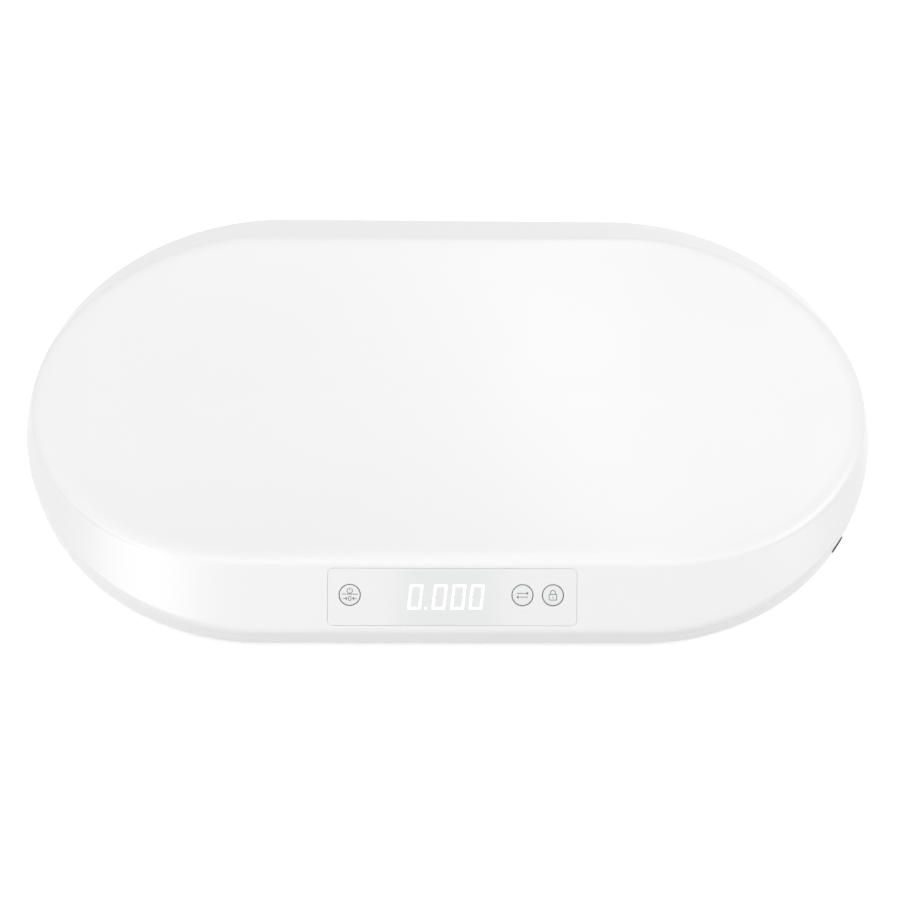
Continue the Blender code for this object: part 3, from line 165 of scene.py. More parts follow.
# Charging socket, behind the wall of the base
PORT_TURN = math.radians(-36)
PORT_WIDTH = 12 * MM
PORT_OPENING_HEIGHT = 6.2 * MM
PORT_CORNER = 2.1 * MM
COLLAR_PLAY = 0.04 * MM
COLLAR_WALL = 0.55 * MM
COLLAR_PROUD = 0.6 * MM
SOCKET_WALL = 0.3 * MM
TONGUE_WIDTH = 6.6 * MM
TONGUE_THICKNESS = 0.7 * MM
TONGUE_SETBACK = 1.0 * MM
CONTACTS = 12
CONTACT_PITCH = 0.5 * MM
CONTACT_LENGTH = 2.4 * MM
CONTACT_RISE = 0.08 * MM

# Facets
TURN_STEPS = 96
DISH_STEPS = 40
EDGE_STEPS = 8
ROUND_STEPS = 96
HOLE_STEPS = 64

WELD = 0.000001

# Worked out from the sizes above
TRAY_HEIGHT = RIM_HEIGHT - DISH_DEPTH
FLOOR = FOOT_HEIGHT + WALL
HALF_LENGTH = BODY_LENGTH / 2
HALF_WIDTH = BODY_WIDTH / 2
HALF_STRAIGHT = HALF_LENGTH - END_REACH
RIM_HALF_LENGTH = HALF_LENGTH - RIM_INSET_END
RIM_HALF_STRAIGHT = RIM_HALF_LENGTH - RIM_END_REACH
RIM_HALF_WIDTH = HALF_WIDTH - RIM_INSET_SIDE
APRON_RISE = RIM_HEIGHT - CREASE_HEIGHT
APRON_TILT = math.atan2(APRON_RISE, RIM_INSET_SIDE)

# The outer face of the base where the charging socket is: X along the wall, Y up, Z out of it
PORT_OUT = Vector((math.cos(PORT_TURN), math.sin(PORT_TURN), 0))
PORT_MIDDLE = Vector((HALF_STRAIGHT + END_REACH * PORT_OUT.x, HALF_WIDTH * PORT_OUT.y, 0))
PORT_MIDDLE.z = (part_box("usb_socket")[0].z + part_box("usb_socket")[1].z) / 2
PORT_AXES = Matrix((Vector((-PORT_OUT.y, PORT_OUT.x, 0)), Vector((0, 0, 1)), PORT_OUT)).transposed()
PORT_FACE = Matrix.Translation(PORT_MIDDLE) @ PORT_AXES.to_4x4()

# The frame of the front apron: X along the panel, Y up the slope, Z out of it
APRON = Matrix.Translation((0, -HALF_WIDTH, CREASE_HEIGHT)) @ Matrix.Rotation(APRON_TILT, 4, "X")


def box_in(axes, node):
    """Lowest and highest corner of a node, measured along another frame's axes."""
    back = axes.inverted()
    points = [back @ vertex.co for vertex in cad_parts[node].data.vertices]
    return [Vector([pick(p[axis] for p in points) for axis in range(3)]) for pick in (min, max)]


PANEL_LOW, PANEL_HIGH = box_in(APRON, "display_panel")
PANEL_WIDTH = PANEL_HIGH.x - PANEL_LOW.x
PANEL_RISE = (PANEL_HIGH.y + PANEL_LOW.y) / 2
PANEL_HEIGHT = PANEL_HIGH.y - PANEL_LOW.y
KEYS = ("tare", "unit", "hold")
CORNERS = ("front_left", "front_right", "back_left", "back_right")


def middle_in(axes, node):
    low, high = box_in(axes, node)
    return (low + high) / 2


KEY_PLACES = {key: middle_in(APRON, f"key_{key}") for key in KEYS}
KEY_RADIUS = (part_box("key_tare")[1].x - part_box("key_tare")[0].x) / 2 - KEY_FLANGE
LED_LOW, LED_HIGH = box_in(APRON, "led_display")


# Node trees: one class for a socket that takes part in sums, and one for a tree that nodes are added to

class Value:
    """A socket. Sums, products and powers with it add Math nodes to its tree."""

    def __init__(self, graph, socket):
        self.graph = graph
        self.socket = socket

    def maths(self, operation, *others):
        return self.graph.node("ShaderNodeMath", {"operation": operation}, self, *others)

    def __add__(self, other):
        return self.maths("ADD", other)

    def __mul__(self, other):
        return self.maths("MULTIPLY", other)

    def __sub__(self, other):
        return self.maths("SUBTRACT", other)

    def __truediv__(self, other):
        return self.maths("DIVIDE", other)

    def __pow__(self, other):
        return self.maths("POWER", other)

    def __abs__(self):
        return self.maths("ABSOLUTE")

    def __neg__(self):
        return self * -1

    def __rsub__(self, other):
        return -self + other

    def __rtruediv__(self, other):
        return self ** -1 * other

    __radd__ = __add__
    __rmul__ = __mul__

    def above(self, level, softness):
        """0 below a level and 1 above it, with a soft step between."""
        low, high = level - softness / 2, level + softness / 2
        return self.graph.node("ShaderNodeMapRange", {"interpolation_type": "SMOOTHSTEP"}, self, low, high)

    def between(self, low, high, softness):
        return self.above(low, softness) * (1 - self.above(high, softness))


class Graph:
    """A node tree, with one method that adds a node of any type to it."""

    def __init__(self, tree):
        self.tree = tree

    def node(self, kind, settings=None, *values, output=0, **sockets):
        """Settings come first, then values in the order of the sockets, then values by socket identifier."""
        made = self.tree.nodes.new(kind)
        for name, setting in (settings or {}).items():
            if name == "stops":
                self.set_stops(made.color_ramp, setting)
            else:
                setattr(made, name, setting)
        open_sockets = [socket for socket in made.inputs if socket.enabled]
        for socket, value in zip(open_sockets, values):
            self.feed(socket, value)
        for name, value in sockets.items():
            self.feed(next(s for s in made.inputs if s.identifier.replace(" ", "_") == name), value)
        if isinstance(output, str):
            return Value(self, next(s for s in made.outputs if s.identifier == output))
        return Value(self, made.outputs[output])

    def feed(self, socket, value):
        if isinstance(value, Value):
            self.tree.links.new(value.socket, socket)
        elif value is not None:
            socket.default_value = value

    @staticmethod
    def set_stops(ramp, stops):
        while len(ramp.elements) < len(stops):
            ramp.elements.new(1)
        for element, (place, colour) in zip(ramp.elements, stops):
            element.position = place
            element.color = (*colour, 1)


class GeometryTree(Graph):
    """A geometry tree with named inputs for its sizes."""

    def __init__(self, name, **inputs):
        super().__init__(bpy.data.node_groups.new(name, "GeometryNodeTree"))
        self.tree.interface.new_socket("Geometry", in_out="OUTPUT", socket_type="NodeSocketGeometry")
        self.tree.interface.new_socket("Geometry", in_out="INPUT", socket_type="NodeSocketGeometry")
        for socket_name, kind in inputs.items():
            self.tree.interface.new_socket(socket_name, in_out="INPUT", socket_type=f"NodeSocket{kind}")
        self.way_in = self.tree.nodes.new("NodeGroupInput")

    def input(self, name):
        return Value(self, self.way_in.outputs[name])

    def give(self, geometry):
        """Ends the tree: instances become real, the material goes on, and the result goes out."""
        real = self.node("GeometryNodeRealizeInstances", None, geometry)
        dressed = self.node("GeometryNodeSetMaterial", None, real, None, self.input("Material"))
        way_out = self.tree.nodes.new("NodeGroupOutput")
        self.tree.links.new(dressed.socket, way_out.inputs[0])

    def grow(self, name, mesh, **values):
        """A plain mesh object: what the tree makes of a mesh, with its inputs set to these values."""
        obj = new_object(name, mesh)
        modifier = obj.modifiers.new(self.tree.name, "NODES")
        modifier.node_group = self.tree
        for item in self.tree.interface.items_tree:
            if item.in_out == "INPUT" and item.name in values:
                modifier[item.identifier] = values[item.name]
        return plain(obj)


# Objects and meshes

def new_object(name, mesh):
    obj = bpy.data.objects.new(name, mesh)
    bpy.context.scene.collection.objects.link(obj)
    return obj


def plain(obj):
    """The object with its modifiers' result as its own mesh."""
    graph = bpy.context.evaluated_depsgraph_get()
    mesh = bpy.data.meshes.new_from_object(obj.evaluated_get(graph), depsgraph=graph)
    obj.modifiers.clear()
    obj.data = mesh
    mesh.name = obj.name
    return obj


def closed(mesh, smooth_angle=math.radians(35)):
    """Doubles merged, faces pointing out, and smooth shading up to sharp edges."""
    bm = bmesh.new()
    bm.from_mesh(mesh)
    bmesh.ops.remove_doubles(bm, verts=bm.verts, dist=WELD)
    bmesh.ops.recalc_face_normals(bm, faces=bm.faces)
    bm.to_mesh(mesh)
    bm.free()
    mesh.shade_smooth()
    mesh.set_sharp_from_angle(angle=smooth_angle)
    return mesh


def placed(obj, axes):
    """Moves the object's mesh into a frame, so that the object itself stays at the origin."""
    obj.data.transform(axes)
    return obj


def even_shading(obj):
    """Shades each flat as one face, however it is cut up."""
    weights = obj.modifiers.new("even_shading", "WEIGHTED_NORMAL")
    weights.keep_sharp = True
    return plain(obj)


def carve(obj, operation, *others):
    """Cuts other objects from an object, or joins them to it, and removes them."""
    for other in others:
        modifier = obj.modifiers.new(other.name, "BOOLEAN")
        modifier.operation = operation
        modifier.solver = "EXACT"
        modifier.object = other
    plain(obj)
    for other in others:
        bpy.data.objects.remove(other, do_unlink=True)
    closed(obj.data)
    return obj


def prism(name, outline, low, high, axes=None):
    """A block with a flat outline, from low to high."""
    bm = bmesh.new()
    rings = [[bm.verts.new((x, y, level)) for x, y in outline] for level in (low, high)]
    bm.faces.new(rings[0][::-1])
    bm.faces.new(rings[1])
    for index in range(len(outline)):
        after = (index + 1) % len(outline)
        bm.faces.new((rings[0][index], rings[0][after], rings[1][after], rings[1][index]))
    mesh = bpy.data.meshes.new(name)
    bm.to_mesh(mesh)
    bm.free()
    obj = new_object(name, mesh)
    return placed(obj, axes) if axes else obj


def rounded_rectangle(width, height, corner, centre=(0, 0), steps=8):
    points = []
    for index, (side_x, side_y) in enumerate(((1, 1), (-1, 1), (-1, -1), (1, -1))):
        for step in range(steps + 1):
            angle = math.pi / 2 * (index + step / steps)
            x = centre[0] + side_x * (width / 2 - corner) + corner * math.cos(angle)
            y = centre[1] + side_y * (height / 2 - corner) + corner * math.sin(angle)
            points.append((x, y))
    return points


def circle(radius, centre=(0, 0), steps=HOLE_STEPS):
    turns = [2 * math.pi * step / steps for step in range(steps)]
    return [(centre[0] + radius * math.cos(t), centre[1] + radius * math.sin(t)) for t in turns]


# Sections: a point is (distance from the middle, height, half of the straight length)

def towards(corner, other, distance):
    """The point at a distance from a corner, no farther than halfway to the other point."""
    return corner.lerp(other, min(0.5, distance / (other - corner).xy.length))


def curve(start, corner, end, steps):
    shares = [step / steps for step in range(steps + 1)]
    return [start.lerp(corner, s).lerp(corner.lerp(end, s), s) for s in shares]


def eased(before, corner, after, ease, steps=8):
    """A corner of a section, rounded by a curve that starts and ends at the ease's distance from it."""
    return curve(towards(corner, before, ease), corner, towards(corner, after, ease), steps)


def flat_edges(start, end):
    """A point close to each end of a flat, which keeps the flat's shading even up to the curves beside it."""
    share = FLAT_EDGE / (end - start).xy.length
    return [start.lerp(end, share), end.lerp(start, share)]


def moved_in(before, corner, after, wall):
    """The corner of the inner side of a wall. The section runs out from the middle, over and down."""
    directions = [(corner - before).xy.normalized(), (after - corner).xy.normalized()]
    inward = [Vector((d.y, -d.x)) for d in directions]
    shift = (inward[0] + inward[1]) * wall / (1 + inward[0].dot(inward[1]))
    return corner + Vector((*shift, 0))


def tray_profile(half_rim, rim_height, half_body, straight_reach):
    """One profile of the tray: the dish from its middle to the rim, then the crease and the skirt."""
    rim_distance, rim_straight = half_rim
    points = []
    for share in dish_shares():
        height = TRAY_HEIGHT + (rim_height - TRAY_HEIGHT) * share ** DISH_POWER
        distance = straight_reach + (rim_distance - straight_reach) * share
        points.append(Vector((distance, height, rim_straight)))
    crease = Vector((half_body, CREASE_HEIGHT, HALF_STRAIGHT))
    skirt = Vector((half_body, SEAM_HEIGHT + SEAM_GAP, HALF_STRAIGHT))
    return points + [crease, skirt]


def shell_section(profile):
    """A closed section with rounded edges: out over the profile's outer side and back inside its wall."""
    dish, (rim, crease, skirt) = profile[:-3], profile[-3:]
    start = dish[-1]
    brow_curve = curve(start, rim, towards(rim, crease, RIM_EASE), 12)
    fold_curve = eased(rim, crease, skirt, CREASE_EASE)
    outer = dish[:-1] + brow_curve + flat_edges(brow_curve[-1], fold_curve[0]) + fold_curve
    foot_in = skirt + Vector((-WALL, 0, 0))
    crease_in = crease + Vector((-WALL, 0, 0))
    brow = moved_in(start, rim, crease, TRAY_WALL)
    shoulder = brow.lerp(crease_in, SHOULDER_SHARE)
    outer += eased(crease, skirt, foot_in, SKIRT_EASE, 3) + [foot_in]
    inner = eased(foot_in, crease_in, shoulder, INNER_EASE, 3) + eased(shoulder, brow, dish[-2], INNER_EASE, 3)
    inner += [point - Vector((0, TRAY_WALL, 0)) for point in reversed(dish[:-1])]
    return outer + inner


def section_mesh(name, side, end):
    """A chain of points whose places are the side profile, with the end profile as an attribute."""
    mesh = bpy.data.meshes.new(name)
    mesh.from_pydata([point[:] for point in side], [(i, i + 1) for i in range(len(side) - 1)], [])
    attribute = mesh.attributes.new("end_profile", "FLOAT_VECTOR", "POINT")
    for item, point in zip(attribute.data, end):
        item.vector = point
    return mesh


def swept_tree():
    """Sweeps a section round a racetrack.

    Each ring is two half ellipses, and its height settles from the side profile's to the end profile's.
    """
    tree = GeometryTree("swept_section", Steps="Int", Settle="Float", Material="Material")
    section = tree.input("Geometry")
    count = tree.node("GeometryNodeAttributeDomainSize", None, section, output="Point Count")
    half = tree.input("Steps") + 1
    around = half * 2
    grid = tree.node("GeometryNodeMeshGrid", None, 1.0, 1.0, around + 1, count)
    index = tree.node("GeometryNodeInputIndex")
    column = (index / count).maths("FLOOR")
    row = index - column * count

    def sample(field):
        return tree.node("GeometryNodeSampleIndex", {"data_type": "FLOAT_VECTOR"}, section, field, row)

    place = sample(tree.node("GeometryNodeInputPosition"))
    named = tree.node("GeometryNodeInputNamedAttribute", {"data_type": "FLOAT_VECTOR"}, "end_profile")
    side = [tree.node("ShaderNodeSeparateXYZ", None, place, output=axis) for axis in range(3)]
    end = [tree.node("ShaderNodeSeparateXYZ", None, sample(named), output=axis) for axis in range(3)]

    step = column.maths("MODULO", around)
    far_side = step.maths("GREATER_THAN", half - 0.5)
    sign = 1 - far_side * 2
    turn = ((step - far_side * half) / tree.input("Steps") - 0.5) * math.pi
    straight = side[2]
    across = sign * (straight + (end[0] - straight) * turn.maths("COSINE"))
    along = sign * side[0] * turn.maths("SINE")
    share = ((math.pi / 2 - abs(turn)) / tree.input("Settle")).maths("MINIMUM", 1)
    settled = share * share * (3 - share * 2)
    height = side[1] + (end[1] - side[1]) * settled
    spot = tree.node("ShaderNodeCombineXYZ", None, across, along, height)
    swept = tree.node("GeometryNodeSetPosition", None, grid, None, spot)
    tree.give(tree.node("GeometryNodeMergeByDistance", None, swept, None, WELD))
    return tree


SWEPT = swept_tree()


def swept(name, side, end, material, steps=TURN_STEPS):
    section = section_mesh(name, side, end)
    obj = SWEPT.grow(name, section, Steps=steps, Settle=RIM_DROP_TURN, Material=material)
    closed(obj.data)
    return obj


def turned(name, profile, material, axes=None, steps=ROUND_STEPS):
    """A solid of revolution about Z from (radius, height) points: a swept section with no straight."""
    points = [Vector((radius, height, 0)) for radius, height in profile]
    obj = swept(name, points, points, material, steps // 2)
    return placed(obj, axes) if axes else obj


# Finishes

class Finish(Graph):
    """A material whose colour, roughness and relief are worked out from the piece's own coordinates."""

    def __init__(self, name, **constants):
        self.material = bpy.data.materials.new(name)
        self.material.use_nodes = True
        super().__init__(self.material.node_tree)
        self.shader = self.tree.nodes["Principled BSDF"]
        self.place = self.node("ShaderNodeTexCoord", output="Object")
        for socket_name, value in constants.items():
            self.shader.inputs[socket_name.replace("_", " ")].default_value = value

    def noise(self, scale, detail=2.0, roughness=0.5, stretch=(1, 1, 1)):
        place = self.node("ShaderNodeMapping", None, self.place, None, None, stretch)
        return self.node("ShaderNodeTexNoise", None, place, scale, detail, roughness)

    def blend(self, share, first, second):
        sockets = {"Factor_Float": share, "A_Color": colour(first), "B_Color": colour(second)}
        return self.node("ShaderNodeMix", {"data_type": "RGBA"}, output="Result_Color", **sockets)

    def colour(self, value):
        self.feed(self.shader.inputs["Base Color"], colour(value))

    def rough(self, value):
        self.feed(self.shader.inputs["Roughness"], value)

    def relief(self, height, distance, strength=1.0):
        bump = self.node("ShaderNodeBump", None, Strength=strength, Distance=distance, Height=height)
        self.feed(self.shader.inputs["Normal"], bump)


def colour(value):
    """A grey number or a triple as a colour; a socket stays as it is."""
    if isinstance(value, Value):
        return value
    red, green, blue = (value,) * 3 if isinstance(value, (int, float)) else value
    return (red, green, blue, 1)


def moulded_plastic(name, base, roughness, grain=0.004 * MM, coat=0.0):
    """Injection-moulded plastic: a hint of flow in its tone and a fine orange-peel surface."""
    finish = Finish(name, Coat_Weight=coat, Coat_Roughness=0.08)
    cloud = finish.noise(7.0, 3.0).above(0.5, 0.7)
    speck = finish.noise(900.0, 1.0).above(0.72, 0.06)
    shade = [channel * 0.985 for channel in base]
    finish.colour(finish.blend(speck * 0.10, finish.blend(cloud, base, shade), [c * 0.9 for c in base]))
    finish.rough(finish.noise(25.0, 1.0) * 0.03 + (roughness - 0.015))
    finish.relief(finish.noise(420.0, 2.0, 0.45), grain)
    return finish.material


WHITE_SHELL = moulded_plastic("white_shell", (0.86, 0.86, 0.86), 0.305)
WHITE_KEY = moulded_plastic("white_key", (0.82, 0.825, 0.825), 0.24)
FOOT_PLASTIC = moulded_plastic("foot_plastic", (0.78, 0.78, 0.78), 0.42, 0.008 * MM)


def window_film():
    """The panel's translucent film: greyer over the display module, with a slight green tint."""
    finish = Finish("window_film", Coat_Weight=0.3, Coat_Roughness=0.04)
    across = finish.node("ShaderNodeSeparateXYZ", None, finish.place, output=0)
    window = across.between(LED_LOW.x, LED_HIGH.x, 30 * MM)
    tone = finish.blend(window, (0.845, 0.847, 0.845), (0.775, 0.795, 0.785))
    drift = finish.noise(14.0, 2.0).above(0.5, 0.8)
    finish.colour(finish.blend(drift * 0.2, tone, (0.81, 0.81, 0.81)))
    finish.rough(finish.noise(40.0, 2.0) * 0.04 + 0.15)
    finish.relief(finish.noise(260.0, 1.0), 0.002 * MM)
    return finish.material


def glowing_segment():
    finish = Finish("glowing_segment", Emission_Strength=0.45, Roughness=0.3)
    spread = finish.noise(500.0, 2.0).above(0.5, 0.8)
    glow = finish.blend(spread, (1.0, 1.0, 1.0), (0.94, 0.97, 0.96))
    finish.colour(0.9)
    finish.feed(finish.shader.inputs["Emission Color"], glow)
    return finish.material


def printed_grey():
    finish = Finish("printed_grey", Roughness=0.5)
    finish.colour(finish.blend(finish.noise(2500.0, 2.0), 0.045, 0.075))
    finish.relief(finish.noise(3000.0, 1.0), 0.002 * MM)
    return finish.material


def foot_rubber():
    finish = Finish("foot_rubber")
    cloud = finish.noise(120.0, 3.0)
    finish.colour(finish.blend(cloud, (0.33, 0.33, 0.34), (0.42, 0.42, 0.43)))
    finish.rough(finish.noise(300.0, 2.0) * 0.12 + 0.74)
    finish.relief(finish.noise(1600.0, 3.0, 0.6), 0.03 * MM)
    return finish.material


def plated_steel():
    finish = Finish("plated_steel", Metallic=1.0)
    patch = finish.noise(180.0, 3.0)
    finish.colour(finish.blend(patch, (0.60, 0.60, 0.61), (0.72, 0.72, 0.71)))
    finish.rough(finish.noise(900.0, 2.0, 0.6, (1.0, 0.12, 1.0)) * 0.18 + 0.22)
    finish.relief(finish.noise(2200.0, 2.0, 0.6, (1.0, 0.10, 1.0)), 0.004 * MM)
    return finish.material


def plated_gold():
    finish = Finish("plated_gold", Metallic=1.0)
    finish.colour(finish.blend(finish.noise(900.0, 2.0), (0.72, 0.52, 0.20), (0.82, 0.62, 0.28)))
    finish.rough(finish.noise(1500.0, 2.0) * 0.1 + 0.22)
    return finish.material


def black_plastic():
    finish = Finish("black_plastic")
    finish.colour(finish.blend(finish.noise(260.0, 2.0), 0.018, 0.035))
    finish.rough(finish.noise(500.0, 2.0) * 0.12 + 0.34)
    finish.relief(finish.noise(1800.0, 2.0), 0.006 * MM)
    return finish.material


def board_green():
    """Solder mask over copper: the tracks stand a little proud and show a lighter green."""
    finish = Finish("board_green")
    cells = finish.node("ShaderNodeTexVoronoi", {"feature": "DISTANCE_TO_EDGE"}, finish.place, Scale=260.0)
    track = 1 - cells.above(0.10, 0.04)
    finish.colour(finish.blend(track, (0.022, 0.115, 0.05), (0.05, 0.21, 0.10)))
    finish.rough(finish.noise(400.0, 2.0) * 0.10 + 0.32)
    finish.relief(track, 0.03 * MM)
    return finish.material


def battery_foil():
    finish = Finish("battery_foil", Metallic=0.6)
    crease = finish.noise(90.0, 4.0, 0.6, (1.0, 0.4, 1.0))
    # The colour follows the creases' relief: lighter on the ridges, and darker in the hollows as painted shade.
    finish.colour(finish.blend(crease, (0.48, 0.50, 0.53), (0.62, 0.64, 0.66)))
    finish.rough(crease * 0.2 + 0.26)
    finish.relief(crease, 0.25 * MM)
    return finish.material


def display_white():
    finish = Finish("display_white")
    finish.colour(finish.blend(finish.noise(200.0, 2.0), (0.76, 0.76, 0.74), (0.82, 0.82, 0.80)))
    finish.rough(finish.noise(350.0, 2.0) * 0.1 + 0.42)
    finish.relief(finish.noise(1500.0, 2.0), 0.006 * MM)
    return finish.material


def lead_jacket(name, base):
    finish = Finish(name)
    finish.colour(finish.blend(finish.noise(220.0, 2.0), base, [channel * 0.86 for channel in base]))
    finish.rough(finish.noise(500.0, 2.0) * 0.12 + 0.42)
    finish.relief(finish.noise(1400.0, 2.0, 0.5, (0.25, 1.0, 1.0)), 0.01 * MM)
    return finish.material


MATERIALS = {
    "white_shell": WHITE_SHELL,
    "white_panel": window_film(),
    "white_key": WHITE_KEY,
    "foot_plastic": FOOT_PLASTIC,
    "foot_rubber": foot_rubber(),
    "plated_steel": plated_steel(),
    "black_plastic": black_plastic(),
    "board_green": board_green(),
    "battery_foil": battery_foil(),
    "display_white": display_white(),
    "lead_red": lead_jacket("lead_red", (0.42, 0.035, 0.028)),
    "lead_white": lead_jacket("lead_white", (0.72, 0.72, 0.70)),
}
GLOW = glowing_segment()
PRINT = printed_grey()
GOLD = plated_gold()


def dress_nodes():
    """Each node of the frame takes the material of its own slot."""
    finishes = {name: slot for slot, names in NODE_SLOTS.items() for name in names}
    for name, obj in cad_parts.items():
        obj.data.materials.clear()
        obj.data.materials.append(MATERIALS[finishes.get(name, "plated_steel")])


NODE_SLOTS = {
    "white_shell": ("top_cover", "base_cover"),
    "white_panel": ("display_panel",),
    "white_key": tuple(f"key_{key}" for key in KEYS),
    "black_plastic": tuple(f"plunger_{key}" for key in KEYS),
    "foot_plastic": tuple(f"{kind}_{c}" for c in CORNERS for kind in ("foot_cup", "cell_clamp"))
    + ("battery_clip",),
    "foot_rubber": tuple(f"foot_pad_{corner}" for corner in CORNERS),
    "board_green": ("main_board", "display_board", "usb_board"),
    "battery_foil": ("battery",),
    "display_white": ("led_display",),
    "lead_white": tuple(f"cell_lead_{corner}" for corner in CORNERS) + ("display_lead",),
    "lead_red": ("battery_lead", "socket_lead"),
}
dress_nodes()


def finish_piece(obj, body, slot, *nodes):
    """The piece rides on its body and stands for these nodes. Its slot is not used."""
    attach(obj, body)
    if nodes:
        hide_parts(*nodes)
    return obj


# Top cover

def dish_shares():
    """Shares from the dish's middle to where the rim starts to round over, closer together outwards."""
    last = 1 - BROW_EASE / RIM_HALF_WIDTH
    return [last * math.sin(math.pi / 2 * step / DISH_STEPS) for step in range(DISH_STEPS)] + [last, 1]


def tray_profiles():
    """The tray's outer profile across its sides and along its ends."""
    side = tray_profile((RIM_HALF_WIDTH, RIM_HALF_STRAIGHT), RIM_HEIGHT, HALF_WIDTH, 0)
    end_rim = RIM_HEIGHT - RIM_END_DROP
    return side, tray_profile((RIM_HALF_LENGTH, RIM_HALF_STRAIGHT), end_rim, HALF_LENGTH, RIM_HALF_STRAIGHT)


def room_under_tray(profile):
    """A solid section under the tray's wall, drawn in from the skirt."""
    dish, (rim, crease, skirt) = profile[:-3], profile[-3:]
    lowered = [point - Vector((0, ROOM_DEPTH, 0)) for point in dish]
    brow = moved_in(dish[-1], rim, crease, ROOM_DEPTH)
    drawn_in = Vector((-ROOM_INSET, 0, 0))
    bottom = skirt + drawn_in
    return lowered + [brow, crease + drawn_in, bottom, Vector((dish[0].x, bottom.y, bottom.z))]


def features_inside(node, room):
    """A cover's ribs, posts and bosses: what of its node lies in a room drawn in from its walls."""
    mesh = closed(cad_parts[node].data.copy())
    return carve(new_object(f"{node}_features", mesh), "INTERSECT", room)


def recess_and_bores():
    """What is cut from the apron: the panel's recess, the display's window and a bore for each key."""
    middle = (0, PANEL_RISE)
    gap = FIT_GAP + CUT_MARGIN
    recess_size = (PANEL_WIDTH + 2 * gap, PANEL_HEIGHT + 2 * gap)
    outline = rounded_rectangle(*recess_size, PANEL_CORNER + gap, middle)
    cuts = [prism("panel_recess", outline, -RECESS_DEPTH - CUT_MARGIN, OVERRUN, APRON)]
    led = LED_HIGH - LED_LOW
    window = rounded_rectangle(led.x + 2 * gap, led.y + 2 * gap, FIT_GAP, ((LED_LOW + LED_HIGH) / 2).xy)
    through = -2 * RECESS_DEPTH - OVERRUN
    cuts.append(prism("display_window", window, through, OVERRUN, APRON))
    for key, place in KEY_PLACES.items():
        outline = circle(KEY_RADIUS + KEY_FLANGE + gap, place.xy)
        cuts.append(prism(f"bore_{key}", outline, through, OVERRUN, APRON))
    return cuts


def top_cover():
    profiles = tray_profiles()
    cover = swept("tray_shell", *[shell_section(profile) for profile in profiles], WHITE_SHELL)
    room = swept("tray_room", *[room_under_tray(profile) for profile in profiles], WHITE_SHELL)
    carve(cover, "UNION", features_inside("top_cover", room))
    carve(cover, "DIFFERENCE", *recess_and_bores())
    finish_piece(even_shading(cover), "housing", "white_shell", "top_cover")


# Base cover

def base_section(half):
    """The base's closed section, as insets and heights, round its wall, over its lip and back inside."""
    lip = WALL + FIT_GAP
    edge = [math.pi / 2 * step / EDGE_STEPS for step in range(EDGE_STEPS + 1)]
    points = [(half, FOOT_HEIGHT)]
    points += [(BOTTOM_EDGE * (1 - math.sin(a)), FOOT_HEIGHT + BOTTOM_EDGE * (1 - math.cos(a))) for a in edge]
    points += [(SKIRT_EASE * (1 - math.cos(a)), SEAM_HEIGHT - SKIRT_EASE * (1 - math.sin(a))) for a in edge]
    points += [
        (lip, SEAM_HEIGHT),
        (lip, SEAM_HEIGHT + LIP_HEIGHT),
        (lip + LIP_WALL, SEAM_HEIGHT + LIP_HEIGHT),
        (lip + LIP_WALL, SEAM_HEIGHT - LIP_ROOT),
        (WALL, SEAM_HEIGHT - LIP_ROOT - FIT_GAP - LIP_WALL),
    ]
    points += [(WALL + INNER_EASE * (1 - math.cos(a)), FLOOR + INNER_EASE * (1 - math.sin(a))) for a in edge]
    return points + [(half, FLOOR)]


def room_over_floor(half):
    low, high = FLOOR - FLOOR_SINK, SEAM_HEIGHT + LIP_HEIGHT
    return [(half, low), (ROOM_INSET, low), (ROOM_INSET, high), (half, high)]


def swept_insets(name, section):
    """A body swept from a section of insets and heights, which hold for the sides and for the ends."""
    side = [Vector((HALF_WIDTH - inset, height, HALF_STRAIGHT)) for inset, height in section(HALF_WIDTH)]
    end = [Vector((HALF_LENGTH - inset, height, HALF_STRAIGHT)) for inset, height in section(END_REACH)]
    return swept(name, side, end, WHITE_SHELL)


def foot_and_screw_bores():
    cuts = []
    round_the_foot = (FOOT_RADIUS + FOOT_PLAY) / math.cos(math.pi / HOLE_STEPS) + CUT_MARGIN
    for corner in CORNERS:
        outline = circle(round_the_foot, middle_in(Matrix(), f"foot_cup_{corner}").xy)
        cuts.append(prism(f"bore_{corner}", outline, -OVERRUN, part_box(f"load_cell_{corner}")[1].z))
    for number in SCREW_NUMBERS:
        low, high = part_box(f"body_screw_{number}")
        middle = (low + high) / 2
        head_radius = (high.x - low.x) / 2
        outline = circle(head_radius + FIT_GAP + CUT_MARGIN, middle.xy)
        cuts.append(prism(f"counterbore_{number}", outline, -OVERRUN, FOOT_HEIGHT + SCREW_SHOULDER + CUT_MARGIN))
    return cuts


def base_cover():
    cover = swept_insets("base_shell", base_section)
    room = swept_insets("base_room", room_over_floor)
    carve(cover, "UNION", features_inside("base_cover", room))
    port_size = (PORT_WIDTH + 2 * CUT_MARGIN, PORT_OPENING_HEIGHT + 2 * CUT_MARGIN)
    outline = rounded_rectangle(*port_size, PORT_CORNER + CUT_MARGIN)
    port = prism("port_opening", outline, -WALL - OVERRUN / 2, OVERRUN, PORT_FACE)
    carve(cover, "DIFFERENCE", port, *foot_and_screw_bores())
    finish_piece(even_shading(cover), "housing", "white_shell", "base_cover")


# Display panel and keys

def eased_piece(obj, width, segments=3):
    """Rounds the piece's sharp edges."""
    edges = obj.modifiers.new("eased_edges", "BEVEL")
    edges.width = width
    edges.segments = segments
    edges.limit_method = "ANGLE"
    edges.angle_limit = math.radians(50)
    plain(obj)
    closed(obj.data)
    return obj


